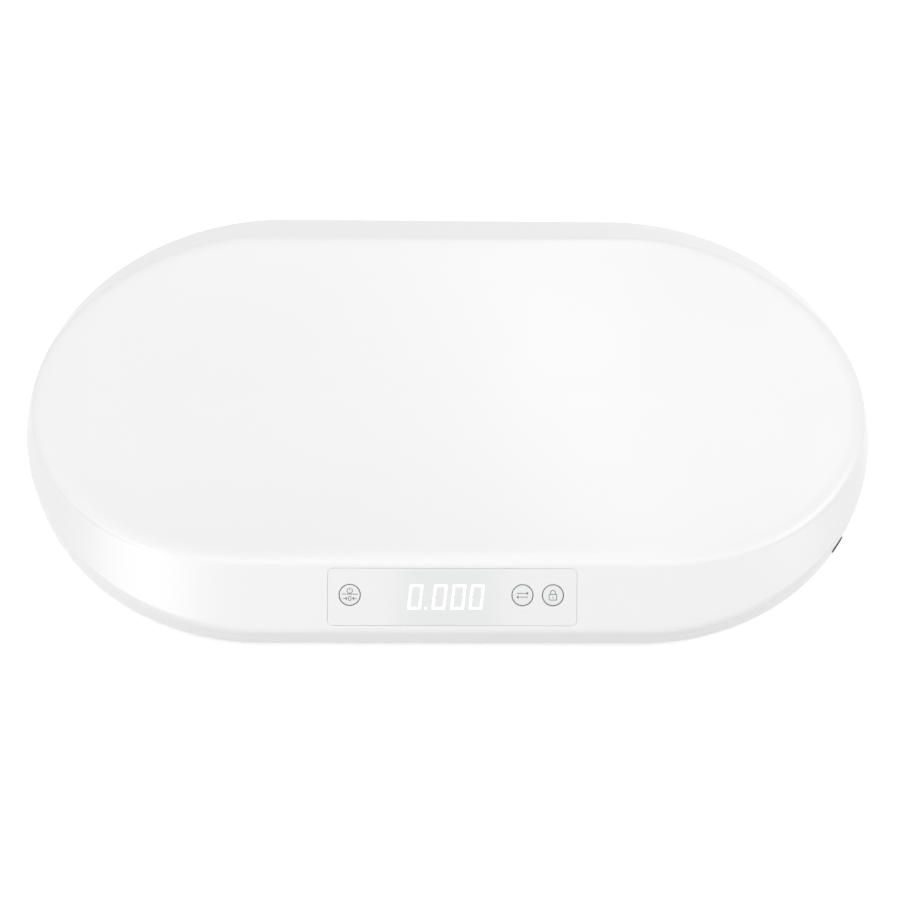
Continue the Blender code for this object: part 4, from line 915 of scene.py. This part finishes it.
def display_panel():
    spread = 2 * (FIT_GAP - FILM_GAP)
    outline = rounded_rectangle(PANEL_WIDTH + spread, PANEL_HEIGHT + spread, PANEL_CORNER, (0, PANEL_RISE))
    panel = prism("display_film", outline, -PANEL_THICKNESS, 0, APRON)
    holes = [
        prism(f"hole_{key}", circle(KEY_RADIUS + FILM_GAP, place.xy), -RECESS_DEPTH - FIT_GAP, OVERRUN, APRON)
        for key, place in KEY_PLACES.items()
    ]
    carve(panel, "DIFFERENCE", *holes)
    eased_piece(panel, PANEL_EASE)
    panel.data.materials.append(MATERIALS["white_panel"])
    finish_piece(even_shading(panel), "housing", "white_panel", "display_panel")


def rounded_profile(corners, steps=5):
    """A turned profile from (radius, height, ease) corners."""
    points = [Vector((radius, height, 0)) for radius, height, ease in corners]
    rounded = [points[0]]
    for index in range(1, len(points) - 1):
        ease = corners[index][2]
        if ease:
            rounded += eased(points[index - 1], points[index], points[index + 1], ease, steps)
        else:
            rounded.append(points[index])
    return [(point.x, point.y) for point in rounded + [points[-1]]]


def keys():
    flange_low = -RECESS_DEPTH - KEY_FLANGE_HEIGHT
    stem_low = flange_low - KEY_STEM_LENGTH
    flange = KEY_RADIUS + KEY_FLANGE
    profile = rounded_profile([
        (0, 0, 0),
        (KEY_RADIUS, 0, KEY_EASE),
        (KEY_RADIUS, -RECESS_DEPTH, 0),
        (flange, -RECESS_DEPTH, KEY_EASE),
        (flange, flange_low, KEY_EASE),
        (KEY_STEM, flange_low, 0),
        (KEY_STEM, stem_low, KEY_EASE),
        (0, stem_low, 0),
    ])
    for key, place in KEY_PLACES.items():
        axes = APRON @ Matrix.Translation((place.x, place.y, 0))
        cap = turned(f"cap_{key}", profile, WHITE_KEY, axes)
        finish_piece(cap, f"key_{key}", "white_key", f"key_{key}")


# Prints on the keys: each is a set of thin flat lines, drawn round the key's centre

def line_tree():
    """Turns edges into flat printed lines of one width and thickness."""
    tree = GeometryTree("printed_line", Width="Float", Thickness="Float", Material="Material")
    path = tree.node("GeometryNodeMeshToCurve", None, tree.input("Geometry"))
    upright = tree.node("GeometryNodeSetCurveNormal", {"mode": "Z_UP"}, path)
    face = tree.node(
        "GeometryNodeCurvePrimitiveQuadrilateral", None, tree.input("Width"), tree.input("Thickness")
    )
    lines = tree.node("GeometryNodeCurveToMesh", None, upright, face)
    lines.socket.node.inputs["Fill Caps"].default_value = True
    tree.give(lines)
    return tree


def arc(radius, start, end, centre=(0, 0), steps=40):
    turns = [math.radians(start + (end - start) * step / steps) for step in range(steps + 1)]
    return [(centre[0] + radius * math.cos(t), centre[1] + radius * math.sin(t)) for t in turns]


def oval(half_width, half_height, centre, steps=40):
    return [(x * half_width + centre[0], y * half_height + centre[1]) for x, y in circle(1, steps=steps)]


def closed_line(points):
    return points + points[:1]


def arrow(start, end, height):
    """A level arrow: its shaft and its two barbs."""
    back = ARROW_HEAD if start > end else -ARROW_HEAD
    barbs = [[(end + back, height + side * ARROW_HEAD), (end, height)] for side in (-1, 1)]
    return [[(start, height), (end, height)], *barbs]


def shackle_line():
    foot = LOCK_RISE + LOCK_HEIGHT / 2
    bow = arc(SHACKLE, 180, 0, (0, foot + SHACKLE * 0.7))
    return [(-SHACKLE, foot), *bow, (SHACKLE, foot)]


RING = closed_line(circle(RING_RADIUS))
KEY_PRINTS = {
    "tare": [
        [(-RULE_REACH, RULE_RISE), (RULE_REACH, RULE_RISE)],
        arc(POWER_RADIUS, 125, 415, (0, POWER_RISE)),
        [(0, POWER_RISE + POWER_RADIUS * 0.2), (0, POWER_RISE + POWER_RADIUS * 1.15)],
        closed_line(oval(ZERO_HALF_WIDTH, ZERO_HALF_HEIGHT, (0, ZERO_RISE))),
        *arrow(-4.8 * ZERO_HALF_WIDTH, -1.9 * ZERO_HALF_WIDTH, ZERO_RISE),
        *arrow(4.8 * ZERO_HALF_WIDTH, 1.9 * ZERO_HALF_WIDTH, ZERO_RISE),
    ],
    "unit": arrow(-SWAP_REACH, SWAP_REACH, SWAP_SPREAD) + arrow(SWAP_REACH, -SWAP_REACH, -SWAP_SPREAD),
    "hold": [
        closed_line(rounded_rectangle(LOCK_WIDTH, LOCK_HEIGHT, LOCK_CORNER, (0, LOCK_RISE))),
        shackle_line(),
        [(0, LOCK_RISE + LOCK_HEIGHT * 0.15), (0, LOCK_RISE - LOCK_HEIGHT * 0.2)],
    ],
}


def line_mesh(name, lines):
    """Chains of edges through the points of some lines; a line that ends where it starts is closed."""
    mesh = bpy.data.meshes.new(name)
    points, edges = [], []
    for line in lines:
        first = len(points)
        looped = line[0] == line[-1]
        own = line[:-1] if looped else line
        points += [(x, y, INK / 2) for x, y in own]
        edges += [(first + i, first + i + 1) for i in range(len(own) - 1)]
        if looped:
            edges.append((first + len(own) - 1, first))
    mesh.from_pydata(points, edges, [])
    return mesh


def key_prints():
    lines_tree = line_tree()
    for key, lines in KEY_PRINTS.items():
        place = KEY_PLACES[key]
        axes = APRON @ Matrix.Translation((place.x, place.y, 0))
        ring = lines_tree.grow(
            f"ring_{key}", line_mesh(f"ring_{key}", [RING]), Width=RING_LINE, Thickness=INK, Material=PRINT
        )
        sign = lines_tree.grow(
            f"sign_{key}", line_mesh(f"sign_{key}", lines), Width=SIGN_LINE, Thickness=INK, Material=PRINT
        )
        for obj in (ring, sign):
            closed(placed(obj, axes).data)
            finish_piece(obj, f"key_{key}", "black_plastic")


# Feet

def feet():
    for corner in CORNERS:
        pad_low, pad_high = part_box(f"foot_pad_{corner}")
        cup_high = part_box(f"foot_cup_{corner}")[1]
        cell_low, cell_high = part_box(f"load_cell_{corner}")
        middle = (pad_low + pad_high) / 2
        axes = Matrix.Translation((middle.x, middle.y, 0))
        pad_radius = (pad_high.x - pad_low.x) / 2
        pad_top = pad_high.z
        grooves = [(0, GROOVE_DEPTH, 0)]
        for ring in range(GROOVES):
            outer = pad_radius * (ring + 1) / (GROOVES + 1)
            grooves += [(outer - GROOVE_WIDTH, GROOVE_DEPTH, 0), (outer - GROOVE_WIDTH / 2, 0, 0)]
            grooves += [(outer + GROOVE_WIDTH / 2, 0, 0), (outer + GROOVE_WIDTH, GROOVE_DEPTH, 0)]
        sole = grooves + [(pad_radius - PAD_LAND, GROOVE_DEPTH, 0), (pad_radius - PAD_LAND, 0, 0)]
        edge = [(pad_radius, 0, PAD_EASE), (pad_radius, pad_top, PAD_EASE), (0, pad_top, 0)]
        pad = turned(f"sole_{corner}", rounded_profile(list(reversed(sole + edge))), MATERIALS["foot_rubber"], axes)
        finish_piece(pad, f"foot_{corner}", "foot_rubber", f"foot_pad_{corner}")

        web_low = pad_top + FIT_GAP
        web = web_low + CUP_WEB
        shoulder = cell_low.z - FIT_GAP
        head = cell_high.z + FIT_GAP
        cup_profile = rounded_profile([
            (0, cup_high.z, 0),
            (STEM_HEAD * STEM_CROWN, cup_high.z, 0.2 * MM),
            (STEM_HEAD, head, 0),
            (STEM_NECK, head, 0),
            (STEM_NECK, shoulder, 0),
            (STEM_SHOULDER, shoulder, 0.3 * MM),
            (STEM_SHOULDER, web, 0.8 * MM),
            (FOOT_RADIUS, web, 0.9 * MM),
            (FOOT_RADIUS, CUP_CLEARANCE, 0.4 * MM),
            (pad_radius + FIT_GAP, CUP_CLEARANCE, 0.2 * MM),
            (pad_radius + FIT_GAP, web_low, 0),
            (0, web_low, 0),
        ])
        cup = turned(f"cup_{corner}", cup_profile, FOOT_PLASTIC, axes)
        finish_piece(cup, f"foot_{corner}", "foot_plastic", f"foot_cup_{corner}")


# Screws, all grown on points by one tree

def screw_tree():
    """A pan-head screw with a cross recess and a thread on each point, along the point's axis."""
    sizes = {name: "Float" for name in ("Head", "Rise", "Shank", "Length", "Pitch")}
    tree = GeometryTree("screws", **sizes, Material="Material")
    head, rise, shank, length, pitch = [tree.input(name) for name in sizes]

    def vector(x, y, z):
        return tree.node("ShaderNodeCombineXYZ", None, x, y, z)

    def moved(geometry, shift):
        return tree.node("GeometryNodeTransform", None, geometry, Translation=shift)

    disc = tree.node("GeometryNodeMeshCylinder", None, 40, 3, 6, head, rise)
    disc = moved(disc, vector(0, 0, rise / 2))
    place = tree.node("GeometryNodeInputPosition")
    x, y, z = [tree.node("ShaderNodeSeparateXYZ", None, place, output=axis) for axis in range(3)]
    bulge = (1 - (x * x + y * y) / (head * head) * 0.72).maths("SQRT")
    dome = tree.node("GeometryNodeSetPosition", None, disc, None, vector(x, y, z * bulge))
    for long_side, short_side in ((1.15, 0.26), (0.26, 1.15)):
        slot = tree.node("GeometryNodeMeshCube", None, vector(head * long_side, head * short_side, rise * 1.2))
        cut = tree.node("GeometryNodeMeshBoolean", {"operation": "DIFFERENCE", "solver": "EXACT"}, dome)
        tree.tree.links.new(moved(slot, vector(0, 0, rise * 1.05)).socket, cut.socket.node.inputs["Mesh 2"])
        dome = cut
    taper = shank * 1.4
    rod = tree.node("GeometryNodeMeshCylinder", None, 24, 1, 1, shank, length - taper)
    rod = moved(rod, vector(0, 0, (length - taper) * -0.5))
    tip = tree.node("GeometryNodeMeshCone", None, 24, 1, 1, 0.0, shank, taper)
    tip = moved(tip, vector(0, 0, -length))
    turns = (length - taper) / pitch
    coil = tree.node("GeometryNodeCurveSpiral", None, 24, turns, shank, shank, length - taper, False)
    wire = tree.node("GeometryNodeCurvePrimitiveCircle", {"mode": "RADIUS"}, 6)
    tree.tree.links.new((pitch * 0.28).socket, wire.socket.node.inputs["Radius"])
    thread = tree.node("GeometryNodeCurveToMesh", None, coil, wire)
    thread.socket.node.inputs["Fill Caps"].default_value = True
    thread = moved(thread, vector(0, 0, (length - taper) * -1.0))
    whole = tree.node("GeometryNodeJoinGeometry")
    for part in (dome, rod, tip, thread):
        tree.tree.links.new(part.socket, whole.socket.node.inputs[0])
    axis = tree.node("GeometryNodeInputNamedAttribute", {"data_type": "FLOAT_VECTOR"}, "axis")
    turn = tree.node("FunctionNodeAlignRotationToVector", {"axis": "Z"}, None, None, axis)
    points = tree.node("GeometryNodeMeshToPoints", None, tree.input("Geometry"))
    tree.give(tree.node("GeometryNodeInstanceOnPoints", None, points, None, whole, None, None, turn))
    return tree


def screw_set(tree, name, nodes, axis, shank, pitch):
    """Screws in the places of these nodes, whose heads point along one axis."""
    turn = axis.to_track_quat("Z", "Y").to_matrix().to_4x4()
    seats, sizes = [], []
    for node in nodes:
        low, high = box_in(turn, node)
        radius = (high.x - low.x) / 2
        seats.append(turn @ Vector(((low.x + high.x) / 2, (low.y + high.y) / 2, high.z)))
        sizes.append((radius, high.z - low.z))
    head, whole_length = sizes[0]
    rise = head * SCREW_RISE_SHARE
    mesh = bpy.data.meshes.new(name)
    mesh.from_pydata([seat - axis * rise for seat in seats], [], [])
    attribute = mesh.attributes.new("axis", "FLOAT_VECTOR", "POINT")
    for item in attribute.data:
        item.vector = axis
    values = {"Head": head, "Rise": rise, "Shank": shank, "Length": whole_length - rise, "Pitch": pitch}
    screws = tree.grow(name, mesh, Material=MATERIALS["plated_steel"], **values)
    closed(screws.data)
    finish_piece(screws, "housing", "plated_steel", *nodes)


def all_screws():
    tree = screw_tree()
    up, down = Vector((0, 0, 1)), Vector((0, 0, -1))
    inward = -(APRON.to_3x3() @ up)
    screw_set(tree, "body_screws", [f"body_screw_{n}" for n in SCREW_NUMBERS], down, BODY_SHANK, 1.2 * MM)
    screw_set(tree, "display_screws", ["display_screw_left", "display_screw_right"], inward, SMALL_SHANK, 0.7 * MM)
    inner = [f"{kind}_{side}" for kind in ("main_board_screw", "clip_screw") for side in ("front", "back")]
    screw_set(tree, "inner_screws", inner, up, SMALL_SHANK, 0.7 * MM)
    screw_set(tree, "port_screws", ["usb_screw_left", "usb_screw_right"], up, SMALL_SHANK, 0.7 * MM)


# Charging socket: a rolled steel shell round a black tongue with two rows of contacts

def blocks_tree():
    tree = GeometryTree("blocks", Size="Vector", Material="Material")
    block = tree.node("GeometryNodeMeshCube", None, tree.input("Size"))
    points = tree.node("GeometryNodeMeshToPoints", None, tree.input("Geometry"))
    tree.give(tree.node("GeometryNodeInstanceOnPoints", None, points, None, block))
    return tree


def port_collar():
    """A black collar that lines the port's opening and stands a little out of the wall. Its black is painted shade,
    for the dark inside of the opening.
    """
    outlines = []
    for inset in (COLLAR_PLAY, COLLAR_PLAY + COLLAR_WALL):
        size = (PORT_WIDTH - 2 * inset, PORT_OPENING_HEIGHT - 2 * inset)
        outlines.append(rounded_rectangle(*size, PORT_CORNER - inset))
    collar = prism("port_collar", outlines[0], -WALL, COLLAR_PROUD, PORT_FACE)
    hollow = prism("port_hollow", outlines[1], -WALL - OVERRUN, OVERRUN, PORT_FACE)
    carve(collar, "DIFFERENCE", hollow)
    eased_piece(collar, COLLAR_WALL / 3, 2)
    # Painted shade: this black stands for the shade inside the port's opening.
    collar.data.materials.append(MATERIALS["black_plastic"])
    finish_piece(even_shading(collar), "housing", "black_plastic")


def charging_socket():
    low, high = box_in(PORT_FACE, "usb_socket")
    size = high - low
    corner = size.y / 2 - SOCKET_WALL
    shell = prism("socket_shell", rounded_rectangle(size.x, size.y, corner), low.z, high.z)
    inside = (size.x - 2 * SOCKET_WALL, size.y - 2 * SOCKET_WALL)
    cavity = prism(
        "socket_cavity", rounded_rectangle(*inside, inside[1] / 2 - SOCKET_WALL / 2), low.z + TONGUE_SETBACK, high.z + OVERRUN
    )
    carve(shell, "DIFFERENCE", cavity)
    shell.data.materials.append(MATERIALS["plated_steel"])
    finish_piece(placed(shell, PORT_FACE), "housing", "plated_steel", "usb_socket")
    tongue = prism(
        "socket_tongue", rounded_rectangle(TONGUE_WIDTH, TONGUE_THICKNESS, TONGUE_THICKNESS / 2.2),
        low.z + TONGUE_SETBACK / 2, high.z - TONGUE_SETBACK,
    )
    eased_piece(tongue, 0.08 * MM, 2)
    tongue.data.materials.append(MATERIALS["black_plastic"])
    finish_piece(placed(tongue, PORT_FACE), "housing", "black_plastic")
    mesh = bpy.data.meshes.new("socket_contacts")
    first = -CONTACT_PITCH * (CONTACTS - 1) / 2
    depth = high.z - TONGUE_SETBACK - CONTACT_LENGTH / 2 - CONTACT_PITCH / 2
    rows = [(first + CONTACT_PITCH * i, side * TONGUE_THICKNESS / 2, depth) for i in range(CONTACTS) for side in (-1, 1)]
    mesh.from_pydata(rows, [], [])
    size = (CONTACT_PITCH * 0.5, CONTACT_RISE, CONTACT_LENGTH)
    contacts = blocks_tree().grow("socket_contacts", mesh, Size=size, Material=GOLD)
    closed(contacts.data)
    finish_piece(placed(contacts, PORT_FACE), "housing", "plated_steel")


top_cover()
base_cover()
display_panel()
keys()
key_prints()
feet()
all_screws()
port_collar()
charging_socket()


# Lit digits, drawn in the apron's frame

DIGIT_LEFTS = [-27.1 * MM, -12.55 * MM, -1.35 * MM, 9.65 * MM]
DIGIT_LOW = 13.85 * MM
DIGIT_WIDTH = 8.05 * MM
DIGIT_HEIGHT = 15.1 * MM
DIGIT_SLANT = 1.65 * MM
SEGMENT = 1.5 * MM
SEGMENT_GAP = 0.2 * MM
POINT_PLACE = (-16.8 * MM, 13.85 * MM)
POINT_SIZE = 1.55 * MM


def segment_outlines(width, height, bar, gap):
    """The six lit bars of a nought, as outlines with mitred ends, in the digit's own corner."""
    mid = height / 2
    top = [(gap, height), (width - gap, height), (width - bar - gap, height - bar), (bar + gap, height - bar)]
    upper = [(0, height - gap), (bar, height - bar - gap), (bar, mid + bar / 2 + gap), (bar / 2, mid + gap), (0, mid + gap)]
    lower = [(x, height - y) for x, y in reversed(upper)]
    right = [[(width - x, y) for x, y in reversed(bar_outline)] for bar_outline in (upper, lower)]
    bottom = [(x, height - y) for x, y in reversed(top)]
    return [top, bottom, upper, lower, *right]


def lit_digits():
    outlines = []
    for left in DIGIT_LEFTS:
        for outline in segment_outlines(DIGIT_WIDTH, DIGIT_HEIGHT, SEGMENT, SEGMENT_GAP):
            slanted = [(left + x + DIGIT_SLANT * y / DIGIT_HEIGHT, DIGIT_LOW + y) for x, y in outline]
            outlines.append(slanted)
    x, y = POINT_PLACE
    outlines.append([(x, y), (x + POINT_SIZE, y), (x + POINT_SIZE, y + POINT_SIZE), (x, y + POINT_SIZE)])
    bm = bmesh.new()
    for outline in outlines:
        rings = [[bm.verts.new((px, py, level)) for px, py in outline] for level in (0.005 * MM, INK)]
        bm.faces.new(rings[0][::-1])
        bm.faces.new(rings[1])
        for index in range(len(outline)):
            after = (index + 1) % len(outline)
            bm.faces.new((rings[0][index], rings[0][after], rings[1][after], rings[1][index]))
    mesh = bpy.data.meshes.new("lit_digits")
    bm.to_mesh(mesh)
    bm.free()
    closed(mesh)
    mesh.materials.append(GLOW)
    digits = placed(new_object("lit_digits", mesh), APRON)
    finish_piece(digits, "housing", "display_white")


lit_digits()


# Camera, lights and floor

CAMERA_AZIMUTH = math.radians(-2.4759)
CAMERA_ELEVATION = math.radians(56.9774)
CAMERA_ROLL = math.radians(2.3707)
CAMERA_DISTANCE = 0.9896
CAMERA_TARGET = Vector((0, 0, 0.03))
IMAGE_SIZE = 900
FOCAL_PIXELS = 1514.4
IMAGE_CENTRE = (450.25, 402.89)
SENSOR = 36
WORLD_LIGHT = 0.43


def camera():
    a, e, r = CAMERA_AZIMUTH, CAMERA_ELEVATION, CAMERA_ROLL
    back = Vector((math.sin(a) * math.cos(e), -math.cos(a) * math.cos(e), math.sin(e)))
    level = Vector((math.cos(a), math.sin(a), 0))
    upright = back.cross(level)
    right = level * math.cos(r) + upright * math.sin(r)
    up = upright * math.cos(r) - level * math.sin(r)
    data = bpy.data.cameras.new("camera")
    data.sensor_width = SENSOR
    data.lens = FOCAL_PIXELS / IMAGE_SIZE * SENSOR
    data.shift_x = (IMAGE_SIZE / 2 - IMAGE_CENTRE[0]) / IMAGE_SIZE
    data.shift_y = (IMAGE_CENTRE[1] - IMAGE_SIZE / 2) / IMAGE_SIZE
    obj = new_object("camera", data)
    axes = Matrix((right, up, back)).transposed().to_4x4()
    obj.matrix_world = Matrix.Translation(CAMERA_TARGET + back * CAMERA_DISTANCE) @ axes
    bpy.context.scene.camera = obj


def soft_light(name, place, size, power):
    data = bpy.data.lights.new(name, "AREA")
    data.shape = "RECTANGLE"
    data.size, data.size_y = size
    data.energy = power
    obj = new_object(name, data)
    obj.location = place
    obj.rotation_euler = (-obj.location).to_track_quat("-Z", "Y").to_euler()


def seen_directly(graph):
    """1 where the camera, a reflection or a view through glass meets the surface, and 0 for its light."""
    paths = ("Is Camera Ray", "Is Glossy Ray", "Is Transmission Ray")
    camera_ray, glossy_ray, glass_ray = [graph.node("ShaderNodeLightPath", output=path) for path in paths]
    return (camera_ray + glossy_ray + glass_ray).maths("MINIMUM", 1)


def studio():
    world = bpy.data.worlds.new("studio")
    bpy.context.scene.world = world
    world.use_nodes = True
    graph = Graph(world.node_tree)
    background = world.node_tree.nodes["Background"]
    background.inputs["Color"].default_value = colour(1.0)
    graph.feed(background.inputs["Strength"], seen_directly(graph) * (1 - WORLD_LIGHT) + WORLD_LIGHT)

    low = cad_box[0].z
    bm = bmesh.new()
    bmesh.ops.create_grid(bm, x_segments=1, y_segments=1, size=4)
    mesh = bpy.data.meshes.new("floor")
    bm.to_mesh(mesh)
    bm.free()
    mesh.transform(Matrix.Translation((0, 0, low)))
    floor = new_object("floor", mesh)
    finish = Finish("pale_floor", Roughness=0.9, Emission_Strength=1.0)
    finish.colour(0.8)
    finish.feed(finish.shader.inputs["Emission Color"], finish.blend(seen_directly(finish), 0.0, 0.45))
    mesh.materials.append(finish.material)

    soft_light("overhead", (0, -0.28, 2.2), (2.4, 1.6), 14.6)
    soft_light("left_high", (-1.45, -1.05, 1.3), (1.1, 1.0), 13.5)
    soft_light("right_high", (1.75, -0.25, 1.3), (1.1, 1.0), 11.5)
    soft_light("strip_behind", (0.34, 1.2, 1.85), (0.24, 1.6), 5.4)


camera()
studio()
bpy.context.scene.view_settings.view_transform = "Standard"
